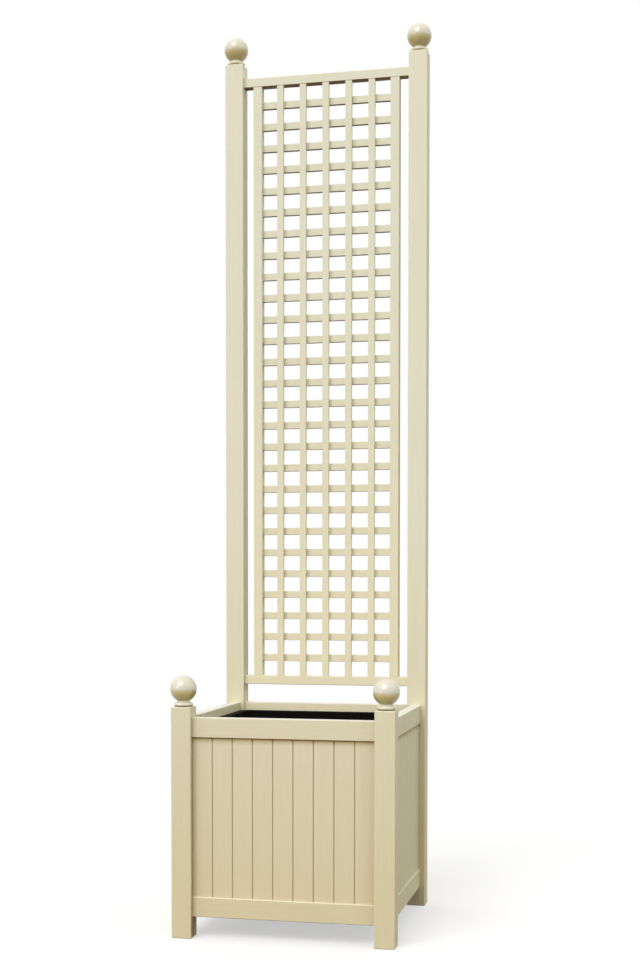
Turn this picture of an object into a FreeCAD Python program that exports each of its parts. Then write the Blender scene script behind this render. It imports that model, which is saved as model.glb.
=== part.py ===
import FreeCAD, Part

import math
import os

# Square timber planter with a tall trellis at its back and a lift-out liner.
#
# Millimetres. The origin is on the floor under the middle of the square plan. +X is the right-hand
# side as seen from the front, +Y runs from the open front to the trellis at the back, +Z is up.

Vec = FreeCAD.Vector
UP = Vec(0, 0, 1)
ORIGIN = Vec(0, 0, 0)
TOLERANCE = 1e-6  # directions, heights and gaps that differ by less are the same

# ---------------------------------------------------------------- driving dimensions
PLAN = 500.0  # over the outer faces of the posts, both ways
POST = 45.0  # square section of the four corner posts
FRONT_POST_HEIGHT = 512.5
BACK_POST_HEIGHT = 2058.5
POST_ARRIS = 1.5  # rounding of the posts' long edges
POST_TOP_CHAMFER = 1.2
POST_FOOT_CHAMFER = 1.0

RAIL_THICKNESS = 24.0
RAIL_REVEAL = 12.0  # the planter rails stand this far behind the posts' outer faces
RAIL_ARRIS = 1.5
TOP_RAIL_Z = (445.3, 489.3)
BOTTOM_RAIL_Z = (47.0, 91.0)

TENON_THICKNESS = 10.0
TENON_LENGTH = 14.0
TENON_SHOULDER = 9.0  # rail left above and below each tenon
MORTISE_END_GAP = 1.0

BOARD_COUNT = 9
BOARD_THICKNESS = 9.0
BOARD_REVEAL = 15.5  # outer face of the boards, behind the posts' outer faces
BOARD_HOUSING = 7.5  # how far the panel runs into the posts and rails
HOUSING_END_GAP = 1.0
BOARD_CHAMFER = 1.3  # half of the V joint between two boards
TONGUE_THICKNESS = 3.0
TONGUE_LENGTH = 4.0
TONGUE_GAP = 0.2

TRELLIS_DEPTH = 24.0  # thickness of the trellis frame, front to back
TRELLIS_SETBACK = 10.5  # its front face, behind the back posts' front faces
TRELLIS_RAIL_HEIGHT = 22.0
TRELLIS_TOP_Z = 2024.0  # top of the top rail
TRELLIS_BOTTOM_Z = 534.5  # underside of the bottom rail
TRELLIS_ARRIS = 1.5
STILE_WIDTH = 22.0
STILE_CENTRE = 170.5  # from the middle of the planter to the middle of each stile
STILE_TENON_WIDTH = 14.0
UPRIGHT_COUNT = 5
UPRIGHT_WIDTH = 16.0
CROSS_COUNT = 27
CROSS_HEIGHT = 17.5
CROSS_PITCH = 52.2
LATH_THICKNESS = 10.0
LATH_ARRIS = 0.8
STUB_TENON = (5.0, 10.0, 6.0)  # thickness, width and length of each lath's stub tenon

BALL_RADIUS = 29.5
BALL_CENTRE = 39.5  # above the top of the post
NECK_RADIUS = 14.0  # where the hollow neck runs into the ball
COVE_RADIUS = 15.2  # in the middle of the hollow neck
RING_RADIUS = 21.3
RING_FOOT_RADIUS = 17.0
RING_WAIST_HEIGHT = 3.6
RING_TOP_RADIUS = 18.6
RING_TOP_HEIGHT = 9.3
SPIGOT_RADIUS = 8.0
SPIGOT_LENGTH = 26.0
SPIGOT_BORE_DEPTH = 28.0

LINER_TOP_HALF = 196.0  # half width over the walls under the rim
LINER_BOTTOM_HALF = 184.0
LINER_WALL = 3.0
LINER_CORNER_RADIUS = 28.0
LINER_RIM_Z = 470.0
LINER_RIM_HALF = 212.5
LINER_NOTCH_HALF = 200.0  # the rim is cut back to this at the four posts and their finials
LINER_GAP = 0.3  # air under the liner's floor, so that it lifts freely
DRAIN_RADIUS = 7.0
DRAIN_OFFSET = 90.0  # from the middle towards the front and back; sideways they lie between two slats

BEARER = 20.0  # square section of the two bearers that carry the base
BEARER_Z = 49.0
BEARER_END_GAP = 1.0
SLAT_COUNT = 5
SLAT_WIDTH = 64.0
SLAT_PITCH = 84.0
SLAT_THICKNESS = 12.0
SLAT_END_GAP = 1.0

# ---------------------------------------------------------------- derived places
HALF = PLAN / 2
POST_INNER = HALF - POST  # from the middle of the plan to the inner faces of the posts
POST_CENTRE = HALF - POST / 2
RAIL_OUTER = HALF - RAIL_REVEAL
RAIL_INNER = RAIL_OUTER - RAIL_THICKNESS
BOARD_OUTER = HALF - BOARD_REVEAL
BOARD_INNER = BOARD_OUTER - BOARD_THICKNESS
TRELLIS_FRONT = POST_INNER + TRELLIS_SETBACK
TRELLIS_BACK = TRELLIS_FRONT + TRELLIS_DEPTH
TRELLIS_RAIL_Z = {
    "top": (TRELLIS_TOP_Z - TRELLIS_RAIL_HEIGHT, TRELLIS_TOP_Z),
    "bottom": (TRELLIS_BOTTOM_Z, TRELLIS_BOTTOM_Z + TRELLIS_RAIL_HEIGHT),
}
STILE_INNER = STILE_CENTRE - STILE_WIDTH / 2
SLAT_TOP = BEARER_Z + BEARER + SLAT_THICKNESS
LINER_FLOOR = SLAT_TOP + LINER_GAP
SIDES = {"front": 0, "right": 90, "back": 180, "left": 270}  # turn about +Z from the front side


# ---------------------------------------------------------------- shared shapes
def box(x, y, z):
    """A box from three (low, high) pairs."""
    return Part.makeBox(x[1] - x[0], y[1] - y[0], z[1] - z[0], Vec(x[0], y[0], z[0]))


def edges_along(shape, axis):
    """The straight edges of a box that run along an axis."""
    found = []
    for edge in shape.Edges:
        start, end = (vertex.Point for vertex in edge.Vertexes)
        if (end - start).normalize().cross(axis).Length < TOLERANCE:
            found.append(edge)
    return found


def eased_bar(x, y, z, axis, radius):
    """A bar whose long edges, along the axis, are rounded."""
    bar = box(x, y, z)
    return bar.makeFillet(radius, edges_along(bar, axis))


def turned(shape, degrees):
    """A copy of the shape, turned about the middle of the plan."""
    copy = shape.copy()
    copy.rotate(ORIGIN, UP, degrees)
    return copy


def mirrored(shape):
    """A copy of the shape on the other side of the plane x = 0."""
    return shape.mirror(ORIGIN, Vec(1, 0, 0))


def joined(shapes):
    """One solid from shapes that share faces."""
    return shapes[0].multiFuse(shapes[1:]).removeSplitter()


def centred(middle, size):
    """A (low, high) pair about a middle."""
    return (middle - size / 2, middle + size / 2)


# ---------------------------------------------------------------- planter rails
def rail_tenon(z, length):
    """The right-hand tenon of a rail of the front side, or the mortise when the length is longer."""
    y = centred(-(RAIL_OUTER + RAIL_INNER) / 2, TENON_THICKNESS)
    return box((POST_INNER, POST_INNER + length), y, (z[0] + TENON_SHOULDER, z[1] - TENON_SHOULDER))


def panel_space(reach):
    """The space of the front side's board panel, run into the frame by the reach."""
    half_width = POST_INNER + reach
    z = (BOTTOM_RAIL_Z[1] - reach, TOP_RAIL_Z[0] + reach)
    return box((-half_width, half_width), (-BOARD_OUTER, -BOARD_INNER), z)


def planter_rail(z):
    """A rail of the front side, tenoned into both posts and grooved for the boards."""
    bar = eased_bar((-POST_INNER, POST_INNER), (-RAIL_OUTER, -RAIL_INNER), z, Vec(1, 0, 0), RAIL_ARRIS)
    tenon = rail_tenon(z, TENON_LENGTH)
    rail = joined([bar, tenon, mirrored(tenon)])
    return rail.cut(panel_space(BOARD_HOUSING + HOUSING_END_GAP))


# ---------------------------------------------------------------- board panels
def board(left, right, grooved, tongued):
    """One tongue-and-groove board of the front side, between two x positions."""
    outer = -BOARD_OUTER
    inner = -BOARD_INNER
    middle = (outer + inner) / 2
    tongue = TONGUE_THICKNESS / 2
    groove = tongue + TONGUE_GAP / 2
    groove_end = left + TONGUE_LENGTH + TONGUE_GAP
    points = [Vec(left + BOARD_CHAMFER, outer), Vec(right - BOARD_CHAMFER, outer)]
    points.append(Vec(right, outer + BOARD_CHAMFER))
    if tongued:
        points.append(Vec(right, middle - tongue))
        points.append(Vec(right + TONGUE_LENGTH, middle - tongue))
        points.append(Vec(right + TONGUE_LENGTH, middle + tongue))
        points.append(Vec(right, middle + tongue))
    points.append(Vec(right, inner))
    points.append(Vec(left, inner))
    if grooved:
        points.append(Vec(left, middle + groove))
        points.append(Vec(groove_end, middle + groove))
        points.append(Vec(groove_end, middle - groove))
        points.append(Vec(left, middle - groove))
    points.append(Vec(left, outer + BOARD_CHAMFER))
    bottom = BOTTOM_RAIL_Z[1] - BOARD_HOUSING
    top = TOP_RAIL_Z[0] + BOARD_HOUSING
    face = Part.Face(Part.makePolygon(points + [points[0]]))
    face.translate(Vec(0, 0, bottom))
    return face.extrude(Vec(0, 0, top - bottom))


def board_panel():
    """The front side's boards: equal widths between the posts, the outer two run into the posts."""
    width = 2 * POST_INNER / BOARD_COUNT
    boards = []
    for index in range(BOARD_COUNT):
        first = index == 0
        last = index == BOARD_COUNT - 1
        left = -POST_INNER + index * width - (BOARD_HOUSING if first else 0)
        right = -POST_INNER + (index + 1) * width + (BOARD_HOUSING if last else 0)
        boards.append(board(left, right, grooved=not first, tongued=not last))
    return Part.makeCompound(boards)


# ---------------------------------------------------------------- trellis
def frame_tenon(x, z, thickness):
    """A tenon or mortise in the middle of the trellis frame's depth."""
    return box(x, centred((TRELLIS_FRONT + TRELLIS_BACK) / 2, thickness), z)


def trellis_rail_tenon(name, length):
    """The right-hand tenon of a trellis rail, or its mortise in the back post."""
    z = TRELLIS_RAIL_Z[name]
    middle = (z[0] + z[1]) / 2
    return frame_tenon((POST_INNER, POST_INNER + length), centred(middle, TENON_THICKNESS), TENON_THICKNESS)


def stile_tenons(extra):
    """Both tenons of the right-hand stile, or their mortises in the rails when run further."""
    x = centred(STILE_CENTRE, STILE_TENON_WIDTH)
    top = TRELLIS_RAIL_Z["top"][0]
    bottom = TRELLIS_RAIL_Z["bottom"][1]
    return [
        frame_tenon(x, (top, top + TENON_LENGTH + extra), TENON_THICKNESS),
        frame_tenon(x, (bottom - TENON_LENGTH - extra, bottom), TENON_THICKNESS),
    ]


def upright_x():
    """The middles of the upright laths, evenly spaced between the stiles' middles."""
    pitch = 2 * STILE_CENTRE / (UPRIGHT_COUNT + 1)
    return [-STILE_CENTRE + pitch * (index + 1) for index in range(UPRIGHT_COUNT)]


def cross_z():
    """The middles of the cross laths, evenly spaced about the middle of the trellis."""
    middle = (TRELLIS_TOP_Z + TRELLIS_BOTTOM_Z) / 2
    lowest = middle - CROSS_PITCH * (CROSS_COUNT - 1) / 2
    return [lowest + CROSS_PITCH * index for index in range(CROSS_COUNT)]


def upright_tenons(x):
    """The stub tenons of an upright lath in the trellis rails."""
    thickness, width, length = STUB_TENON
    y = centred(TRELLIS_FRONT + LATH_THICKNESS / 2, thickness)
    top = TRELLIS_RAIL_Z["top"][0]
    bottom = TRELLIS_RAIL_Z["bottom"][1]
    return [box(centred(x, width), y, (top, top + length)), box(centred(x, width), y, (bottom - length, bottom))]


def cross_tenons(z):
    """The stub tenons of a cross lath in the stiles."""
    thickness, width, length = STUB_TENON
    y = centred(TRELLIS_FRONT + LATH_THICKNESS + LATH_THICKNESS / 2, thickness)
    right = box((STILE_INNER, STILE_INNER + length), y, centred(z, width))
    return [right, mirrored(right)]


def trellis_rail(name):
    """A trellis rail, tenoned into the back posts, with the mortises of the stiles and laths."""
    depth = (TRELLIS_FRONT, TRELLIS_BACK)
    z = TRELLIS_RAIL_Z[name]
    bar = eased_bar((-POST_INNER, POST_INNER), depth, z, Vec(1, 0, 0), TRELLIS_ARRIS)
    tenon = trellis_rail_tenon(name, TENON_LENGTH)
    rail = joined([bar, tenon, mirrored(tenon)])
    mortises = stile_tenons(MORTISE_END_GAP)
    mortises += [mirrored(mortise) for mortise in mortises]
    for x in upright_x():
        mortises += upright_tenons(x)
    return rail.cut(mortises)


def stile():
    """The right-hand stile, tenoned into both rails, with the mortises of the cross laths."""
    z = (TRELLIS_RAIL_Z["bottom"][1], TRELLIS_RAIL_Z["top"][0])
    depth = (TRELLIS_FRONT, TRELLIS_BACK)
    bar = eased_bar(centred(STILE_CENTRE, STILE_WIDTH), depth, z, UP, TRELLIS_ARRIS)
    return joined([bar] + stile_tenons(0)).cut([cross_tenons(z)[0] for z in cross_z()])


def upright_lath(x):
    """An upright lath, flush with the front of the trellis frame."""
    z = (TRELLIS_RAIL_Z["bottom"][1], TRELLIS_RAIL_Z["top"][0])
    depth = (TRELLIS_FRONT, TRELLIS_FRONT + LATH_THICKNESS)
    bar = eased_bar(centred(x, UPRIGHT_WIDTH), depth, z, UP, LATH_ARRIS)
    return joined([bar] + upright_tenons(x))


def cross_lath(z):
    """A cross lath, lying against the backs of the upright laths."""
    depth = (TRELLIS_FRONT + LATH_THICKNESS, TRELLIS_FRONT + 2 * LATH_THICKNESS)
    bar = eased_bar((-STILE_INNER, STILE_INNER), depth, centred(z, CROSS_HEIGHT), Vec(1, 0, 0), LATH_ARRIS)
    return joined([bar] + cross_tenons(z))


# ---------------------------------------------------------------- posts and finials
def post(x_side, y_side, height):
    """A corner post with its mortises, board housings and spigot bore."""
    x = centred(x_side * POST_CENTRE, POST)
    y = centred(y_side * POST_CENTRE, POST)
    body = eased_bar(x, y, (0, height), UP, POST_ARRIS).common(chamfered_block(x, y, height))
    cuts = [spigot_bore(x_side, y_side, height)]
    for turn in SIDES.values():
        cuts.append(turned(panel_space(BOARD_HOUSING + HOUSING_END_GAP), turn))
        for z in (TOP_RAIL_Z, BOTTOM_RAIL_Z):
            mortise = rail_tenon(z, TENON_LENGTH + MORTISE_END_GAP)
            cuts += [turned(mortise, turn), turned(mirrored(mortise), turn)]
    for name in TRELLIS_RAIL_Z:
        mortise = trellis_rail_tenon(name, TENON_LENGTH + MORTISE_END_GAP)
        cuts += [mortise, mirrored(mortise)]
    return body.cut([cut for cut in cuts if cut.distToShape(body)[0] < TOLERANCE])


def chamfered_block(x, y, height):
    """The block of a post with its top and foot edges chamfered."""
    levels = (
        (0, POST_FOOT_CHAMFER),
        (POST_FOOT_CHAMFER, 0),
        (height - POST_TOP_CHAMFER, 0),
        (height, POST_TOP_CHAMFER),
    )
    sections = []
    for z, inset in levels:
        side = POST - 2 * inset
        low = Vec(x[0] + inset, y[0] + inset, z)
        corners = [low, low + Vec(side, 0, 0), low + Vec(side, side, 0), low + Vec(0, side, 0)]
        sections.append(Part.makePolygon(corners + [low]))
    return Part.makeLoft(sections, True, True)


def spigot_bore(x_side, y_side, height):
    """The bore in a post's top that takes the finial's spigot."""
    foot = Vec(x_side * POST_CENTRE, y_side * POST_CENTRE, height - SPIGOT_BORE_DEPTH)
    return Part.makeCylinder(SPIGOT_RADIUS, SPIGOT_BORE_DEPTH, foot)


def finial(x_side, y_side, height):
    """A turned ball finial: ball, hollow neck, rounded base ring and spigot."""
    neck_drop = math.sqrt(BALL_RADIUS**2 - NECK_RADIUS**2)
    neck = Vec(NECK_RADIUS, 0, BALL_CENTRE - neck_drop)
    ring_foot = Vec(RING_FOOT_RADIUS, 0, 0)
    ring_waist = Vec(RING_RADIUS, 0, RING_WAIST_HEIGHT)
    ring_top = Vec(RING_TOP_RADIUS, 0, RING_TOP_HEIGHT)
    cove = Vec(COVE_RADIUS, 0, (RING_TOP_HEIGHT + neck.z) / 2)
    ball_side = Vec(BALL_RADIUS, 0, BALL_CENTRE)
    ball_top = Vec(0, 0, BALL_CENTRE + BALL_RADIUS)
    outline = [
        Part.makeLine(Vec(0, 0, -SPIGOT_LENGTH), Vec(SPIGOT_RADIUS, 0, -SPIGOT_LENGTH)),
        Part.makeLine(Vec(SPIGOT_RADIUS, 0, -SPIGOT_LENGTH), Vec(SPIGOT_RADIUS, 0, 0)),
        Part.makeLine(Vec(SPIGOT_RADIUS, 0, 0), ring_foot),
        Part.Arc(ring_foot, ring_waist, ring_top).toShape(),
        Part.Arc(ring_top, cove, neck).toShape(),
        Part.Arc(neck, ball_side, ball_top).toShape(),
        Part.makeLine(ball_top, Vec(0, 0, -SPIGOT_LENGTH)),
    ]
    solid = Part.Face(Part.Wire(outline)).revolve(ORIGIN, UP, 360)
    solid.translate(Vec(x_side * POST_CENTRE, y_side * POST_CENTRE, height))
    return solid


# ---------------------------------------------------------------- liner and base
def rounded_square(half, radius, z):
    """A closed wire: a square with rounded corners, level at z."""
    square = Part.makePlane(2 * half, 2 * half, Vec(-half, -half, z))
    block = square.extrude(UP)
    block = block.makeFillet(radius, edges_along(block, UP))
    for face in block.Faces:
        if abs(face.CenterOfMass.z - z) < TOLERANCE:
            return face.OuterWire
    raise ValueError("the rounded block has no lower face")


def liner_body(inset, floor, top):
    """The tapered body of the liner, drawn in by the inset: its outside, or its hollow."""
    bottom_wire = rounded_square(LINER_BOTTOM_HALF - inset, LINER_CORNER_RADIUS - inset, floor)
    top_wire = rounded_square(LINER_TOP_HALF - inset, LINER_CORNER_RADIUS - inset, top)
    return Part.makeLoft([bottom_wire, top_wire], True, True)


def liner():
    """The lift-out liner: tapered box, flat rim notched at the posts, drain holes in its floor."""
    rim_z = (LINER_RIM_Z - LINER_WALL, LINER_RIM_Z)
    rim_along = box((-LINER_RIM_HALF, LINER_RIM_HALF), (-LINER_NOTCH_HALF, LINER_NOTCH_HALF), rim_z)
    rim = joined([rim_along, turned(rim_along, 90)])
    outside = joined([liner_body(0, LINER_FLOOR, LINER_RIM_Z), rim])
    hollow = liner_body(LINER_WALL, LINER_FLOOR + LINER_WALL, LINER_RIM_Z)
    drains = []
    for x in (-SLAT_PITCH / 2, SLAT_PITCH / 2):
        for y in (-DRAIN_OFFSET, DRAIN_OFFSET):
            foot = Vec(x, y, LINER_FLOOR - LINER_WALL / 2)
            drains.append(Part.makeCylinder(DRAIN_RADIUS, 2 * LINER_WALL, foot))
    return outside.cut([hollow] + drains)


def base_bearer():
    """The front bearer, fixed to the inside of the bottom rail between the posts."""
    half_length = POST_INNER - BEARER_END_GAP
    return box((-half_length, half_length), (-RAIL_INNER, BEARER - RAIL_INNER), (BEARER_Z, BEARER_Z + BEARER))


def base_slats():
    """The slats that carry the liner, laid front to back across both bearers."""
    half_length = RAIL_INNER - SLAT_END_GAP
    z = (BEARER_Z + BEARER, SLAT_TOP)
    slats = []
    for index in range(SLAT_COUNT):
        x = (index - (SLAT_COUNT - 1) / 2) * SLAT_PITCH
        slats.append(box(centred(x, SLAT_WIDTH), (-half_length, half_length), z))
    return Part.makeCompound(slats)


# ---------------------------------------------------------------- the whole planter
def nodes():
    """Every sub-part of the planter, by its name."""
    parts = {}
    for y_name, y_side, height in (("front", -1, FRONT_POST_HEIGHT), ("back", 1, BACK_POST_HEIGHT)):
        for x_name, x_side in (("left", -1), ("right", 1)):
            parts[f"post_{y_name}_{x_name}"] = post(x_side, y_side, height)
            parts[f"finial_{y_name}_{x_name}"] = finial(x_side, y_side, height)
    for side, turn in SIDES.items():
        parts[f"rail_top_{side}"] = turned(planter_rail(TOP_RAIL_Z), turn)
        parts[f"rail_bottom_{side}"] = turned(planter_rail(BOTTOM_RAIL_Z), turn)
        parts[f"boards_{side}"] = turned(board_panel(), turn)
    for name in TRELLIS_RAIL_Z:
        parts[f"trellis_rail_{name}"] = trellis_rail(name)
    parts["trellis_stile_right"] = stile()
    parts["trellis_stile_left"] = mirrored(stile())
    for number, x in enumerate(upright_x(), start=1):
        parts[f"lath_upright_{number}"] = upright_lath(x)
    for number, z in enumerate(cross_z(), start=1):
        parts[f"lath_cross_{number:02d}"] = cross_lath(z)
    parts["base_bearer_front"] = base_bearer()
    parts["base_bearer_back"] = turned(base_bearer(), 180)
    parts["base_slats"] = base_slats()
    parts["liner"] = liner()
    return parts


def main():
    """Writes one STEP file for each sub-part."""
    os.makedirs("parts", exist_ok=True)
    for name, shape in nodes().items():
        if not shape.isValid():
            raise ValueError(f"{name} is not a valid shape")
        shape.exportStep(os.path.join("parts", f"{name}.step"))
        print(name, len(shape.Solids), "solid(s)", round(shape.Volume / 1000, 1), "cm3")


main()
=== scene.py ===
"""Looks of a cream-painted timber planter with a lift-out liner, ball finials and a tall trellis.

Metres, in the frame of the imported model: origin on the floor under the middle of the plan, +X to the
right, +Y from the open front to the trellis, +Z up.
"""

import logging
import math
from collections.abc import Callable, Iterator
from contextlib import contextmanager
from dataclasses import dataclass, field
from enum import Enum, IntEnum

import bmesh
import bpy
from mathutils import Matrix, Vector


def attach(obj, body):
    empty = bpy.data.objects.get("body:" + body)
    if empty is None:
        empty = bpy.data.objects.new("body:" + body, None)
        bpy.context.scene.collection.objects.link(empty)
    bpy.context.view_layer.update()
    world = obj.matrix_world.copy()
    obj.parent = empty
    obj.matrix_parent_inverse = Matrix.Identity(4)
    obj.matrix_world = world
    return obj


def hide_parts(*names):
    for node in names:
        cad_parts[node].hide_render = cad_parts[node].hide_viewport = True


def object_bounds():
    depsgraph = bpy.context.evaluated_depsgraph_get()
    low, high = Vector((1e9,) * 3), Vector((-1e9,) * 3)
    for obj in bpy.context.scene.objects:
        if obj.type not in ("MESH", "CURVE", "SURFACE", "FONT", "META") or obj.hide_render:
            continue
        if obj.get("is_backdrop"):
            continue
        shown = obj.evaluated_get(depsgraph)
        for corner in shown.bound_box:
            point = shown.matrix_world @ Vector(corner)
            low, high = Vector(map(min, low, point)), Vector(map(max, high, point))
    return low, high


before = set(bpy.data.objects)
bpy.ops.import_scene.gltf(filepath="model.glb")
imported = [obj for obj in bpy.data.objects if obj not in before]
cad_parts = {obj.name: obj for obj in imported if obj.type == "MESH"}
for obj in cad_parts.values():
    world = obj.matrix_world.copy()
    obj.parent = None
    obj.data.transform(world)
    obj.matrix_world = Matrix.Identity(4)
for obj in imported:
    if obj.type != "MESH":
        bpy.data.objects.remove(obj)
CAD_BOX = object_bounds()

LOG = logging.getLogger("planter")
MM = 0.001
SLIGHT = 1e-5  # places that differ by less than this are the same
STRAIGHT = 0.999  # an edge runs along an axis if this share of its length does
SQUARE_ON = 0.99  # a face looks along an axis if its normal has this much of it
FLAT_WEIGHT = 60  # how strongly large flats pull the shading of the roundings beside them
ROUND_STEPS, THIN_STEPS = 3, 2  # faces in the rounding of a stout and of a thin member
ROUND_SHARP, THIN_SHARP = 40.0, 50.0  # edges that turn by more degrees stay sharp on each
PAINT_IOR = 1.5

Pair = tuple[float, float]
Triple = tuple[float, float, float]
Colour = tuple[float, float, float, float]
Span = tuple[float, float, float, float]  # start and end of a range, and what each becomes
Piece = bpy.types.Object
Node = bpy.types.Node
Socket = bpy.types.NodeSocket
Sockets = bpy.types.bpy_prop_collection
EdgeTest = Callable[[bmesh.types.BMEdge], bool]
FaceTest = Callable[[bmesh.types.BMFace], bool]


class Axis(IntEnum):
    """The axes, by their place in a vector."""

    X = 0
    Y = 1
    Z = 2


class Grain(Enum):
    """The way the grain of a member runs; the value is how fast a pattern changes along X, Y and Z."""

    ALONG_X = (0.03, 1.0, 1.0)
    ALONG_Y = (1.0, 0.03, 1.0)
    ALONG_Z = (1.0, 1.0, 0.03)


class Side(Enum):
    """The sides of the planter; the value is the turn from the front side, in degrees."""

    FRONT = 0
    RIGHT = 90
    BACK = 180
    LEFT = 270

    @property
    def word(self) -> str:
        """The side's name as the parts spell it."""
        return self.name.lower()

    @property
    def across(self) -> Grain:
        """The grain of a rail on this side."""
        return Grain.ALONG_X if self in (Side.FRONT, Side.BACK) else Grain.ALONG_Y


class Body(Enum):
    """The bodies of the model."""

    PLANTER = "planter"
    LINER = "liner"


class Slot(Enum):
    """The material slots of the record."""

    FRAME = "painted_frame"
    BOARDS = "painted_boards"
    TRELLIS = "painted_trellis"
    FINIAL = "painted_finial"
    LINER = "liner_plastic"
    TIMBER = "bare_timber"


# ------------------------------------------------------------------------------ bench work
def clear_selection() -> None:
    """Deselects every object, so that an operator acts only on what is picked after it."""
    bpy.ops.object.select_all(action="DESELECT")


def pick(piece: Piece) -> None:
    """Selects one piece alone and makes it active.

    Args:
        piece: the object to work on.
    """
    clear_selection()
    piece.select_set(True)
    bpy.context.view_layer.objects.active = piece


def set_in_place(piece: Piece) -> None:
    """Writes the piece's place, turn and size into its mesh."""
    pick(piece)
    bpy.ops.object.transform_apply(location=True, rotation=True, scale=True)


@contextmanager
def editing(piece: Piece, mode: str = "EDGE") -> Iterator[None]:
    """Edit mode with nothing selected.

    Args:
        piece: the object to edit.
        mode: VERT, EDGE or FACE.

    Returns:
        A context that leaves edit mode at its end.
    """
    pick(piece)
    bpy.ops.object.mode_set(mode="EDIT")
    bpy.ops.mesh.select_mode(type=mode)
    bpy.ops.mesh.select_all(action="DESELECT")
    try:
        yield
    finally:
        bpy.ops.object.mode_set(mode="OBJECT")


def select_edges(piece: Piece, test: EdgeTest) -> None:
    """Selects the edges that pass a test, in edit mode.

    Args:
        piece: the object in edit mode.
        test: says whether an edge is wanted.
    """
    mesh = bmesh.from_edit_mesh(piece.data)
    mesh.normal_update()
    for edge in mesh.edges:
        edge.select_set(test(edge))
    bmesh.update_edit_mesh(piece.data)


def select_faces(piece: Piece, test: FaceTest) -> None:
    """Selects the faces that pass a test, in edit mode.

    Args:
        piece: the object in edit mode.
        test: says whether a face is wanted.
    """
    mesh = bmesh.from_edit_mesh(piece.data)
    mesh.normal_update()
    for face in mesh.faces:
        face.select_set(False)
    for face in mesh.faces:
        if test(face):
            face.select_set(True)
    bmesh.update_edit_mesh(piece.data)


def along(edge: bmesh.types.BMEdge, axis: Axis) -> bool:
    """Whether an edge runs along an axis."""
    run = edge.verts[1].co - edge.verts[0].co
    return abs(run[axis]) > STRAIGHT * run.length


def is_corner(edge: bmesh.types.BMEdge, degrees: float = 20.0) -> bool:
    """Whether an edge joins two faces that turn by more than an angle."""
    return len(edge.link_faces) == 2 and edge.calc_face_angle(0.0) > math.radians(degrees)


def ease(piece: Piece, test: EdgeTest, width: float, steps: int = 1) -> None:
    """Rounds or chamfers the chosen edges of a piece.

    Args:
        piece: the piece.
        test: says which edges.
        width: how much the bevel takes off each face, in metres.
        steps: 1 for a flat chamfer, more for a rounding.
    """
    with editing(piece):
        select_edges(piece, test)
        bpy.ops.mesh.bevel(offset_type="OFFSET", offset=width, segments=steps, profile=0.5, affect="EDGES")


def new_block(name: str, x: Pair, y: Pair, z: Pair) -> Piece:
    """A sawn block to shape further.

    Args:
        name: the piece's name.
        x: low and high place along X.
        y: low and high place along Y.
        z: low and high place along Z.

    Returns:
        The block, with its place in its mesh.
    """
    clear_selection()
    middle = [(pair[0] + pair[1]) / 2 for pair in (x, y, z)]
    size = [pair[1] - pair[0] for pair in (x, y, z)]
    bpy.ops.mesh.primitive_cube_add(size=1, location=middle, scale=size)
    piece = bpy.context.active_object
    piece.name = name
    piece.data.name = name
    set_in_place(piece)
    return piece


def smooth(piece: Piece, degrees: float = ROUND_SHARP) -> None:
    """Shades roundings smoothly while flats stay flat.

    Args:
        piece: the piece.
        degrees: edges sharper than this stay sharp.
    """
    pick(piece)
    bpy.ops.object.shade_smooth_by_angle(angle=math.radians(degrees))
    weigh = piece.modifiers.new("flats_stay_flat", "WEIGHTED_NORMAL")
    weigh.mode = "FACE_AREA"
    weigh.weight = FLAT_WEIGHT
    weigh.keep_sharp = True
    bpy.ops.object.modifier_apply(modifier=weigh.name)


def planed_bar(name: str, x: Pair, y: Pair, z: Pair, axis: Axis, arris: float, thin: bool = False) -> Piece:
    """A planed bar whose long edges are rounded.

    Args:
        name: the piece's name.
        x: low and high place along X.
        y: low and high place along Y.
        z: low and high place along Z.
        axis: the bar's long axis.
        arris: the radius of its long edges.
        thin: whether its roundings are small enough for fewer faces.

    Returns:
        The bar, shaded.
    """
    piece = new_block(name, x, y, z)
    steps, sharp = (THIN_STEPS, THIN_SHARP) if thin else (ROUND_STEPS, ROUND_SHARP)
    ease(piece, lambda edge: along(edge, axis), arris, steps)
    smooth(piece, sharp)
    return piece


def copied(piece: Piece, name: str, move: Triple = (0.0, 0.0, 0.0), turn: float = 0.0) -> Piece:
    """A copy of a piece with a mesh of its own.

    Args:
        piece: what to copy.
        name: the copy's name.
        move: how far it is moved, in metres.
        turn: how far it is then turned about the middle of the plan, in degrees.

    Returns:
        The copy, with its place in its mesh.
    """
    pick(piece)
    bpy.ops.object.duplicate(linked=False)
    copy = bpy.context.active_object
    copy.name = name
    copy.data.name = name
    copy.location = move
    set_in_place(copy)
    if turn:
        copy.rotation_euler.z = math.radians(turn)
        set_in_place(copy)
    return copy


def cut_away(piece: Piece, tools: list[Piece], operation: str = "DIFFERENCE") -> None:
    """Cuts other shapes from a piece, or adds them to it, and clears them away.

    Args:
        piece: the piece.
        tools: the shapes, which are removed afterwards.
        operation: DIFFERENCE or UNION.
    """
    for tool in tools:
        pick(piece)
        cut = piece.modifiers.new("cut", "BOOLEAN")
        cut.operation = operation
        cut.solver = "EXACT"
        cut.object = tool
        bpy.ops.object.modifier_apply(modifier=cut.name)
        bpy.data.objects.remove(tool)


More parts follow.
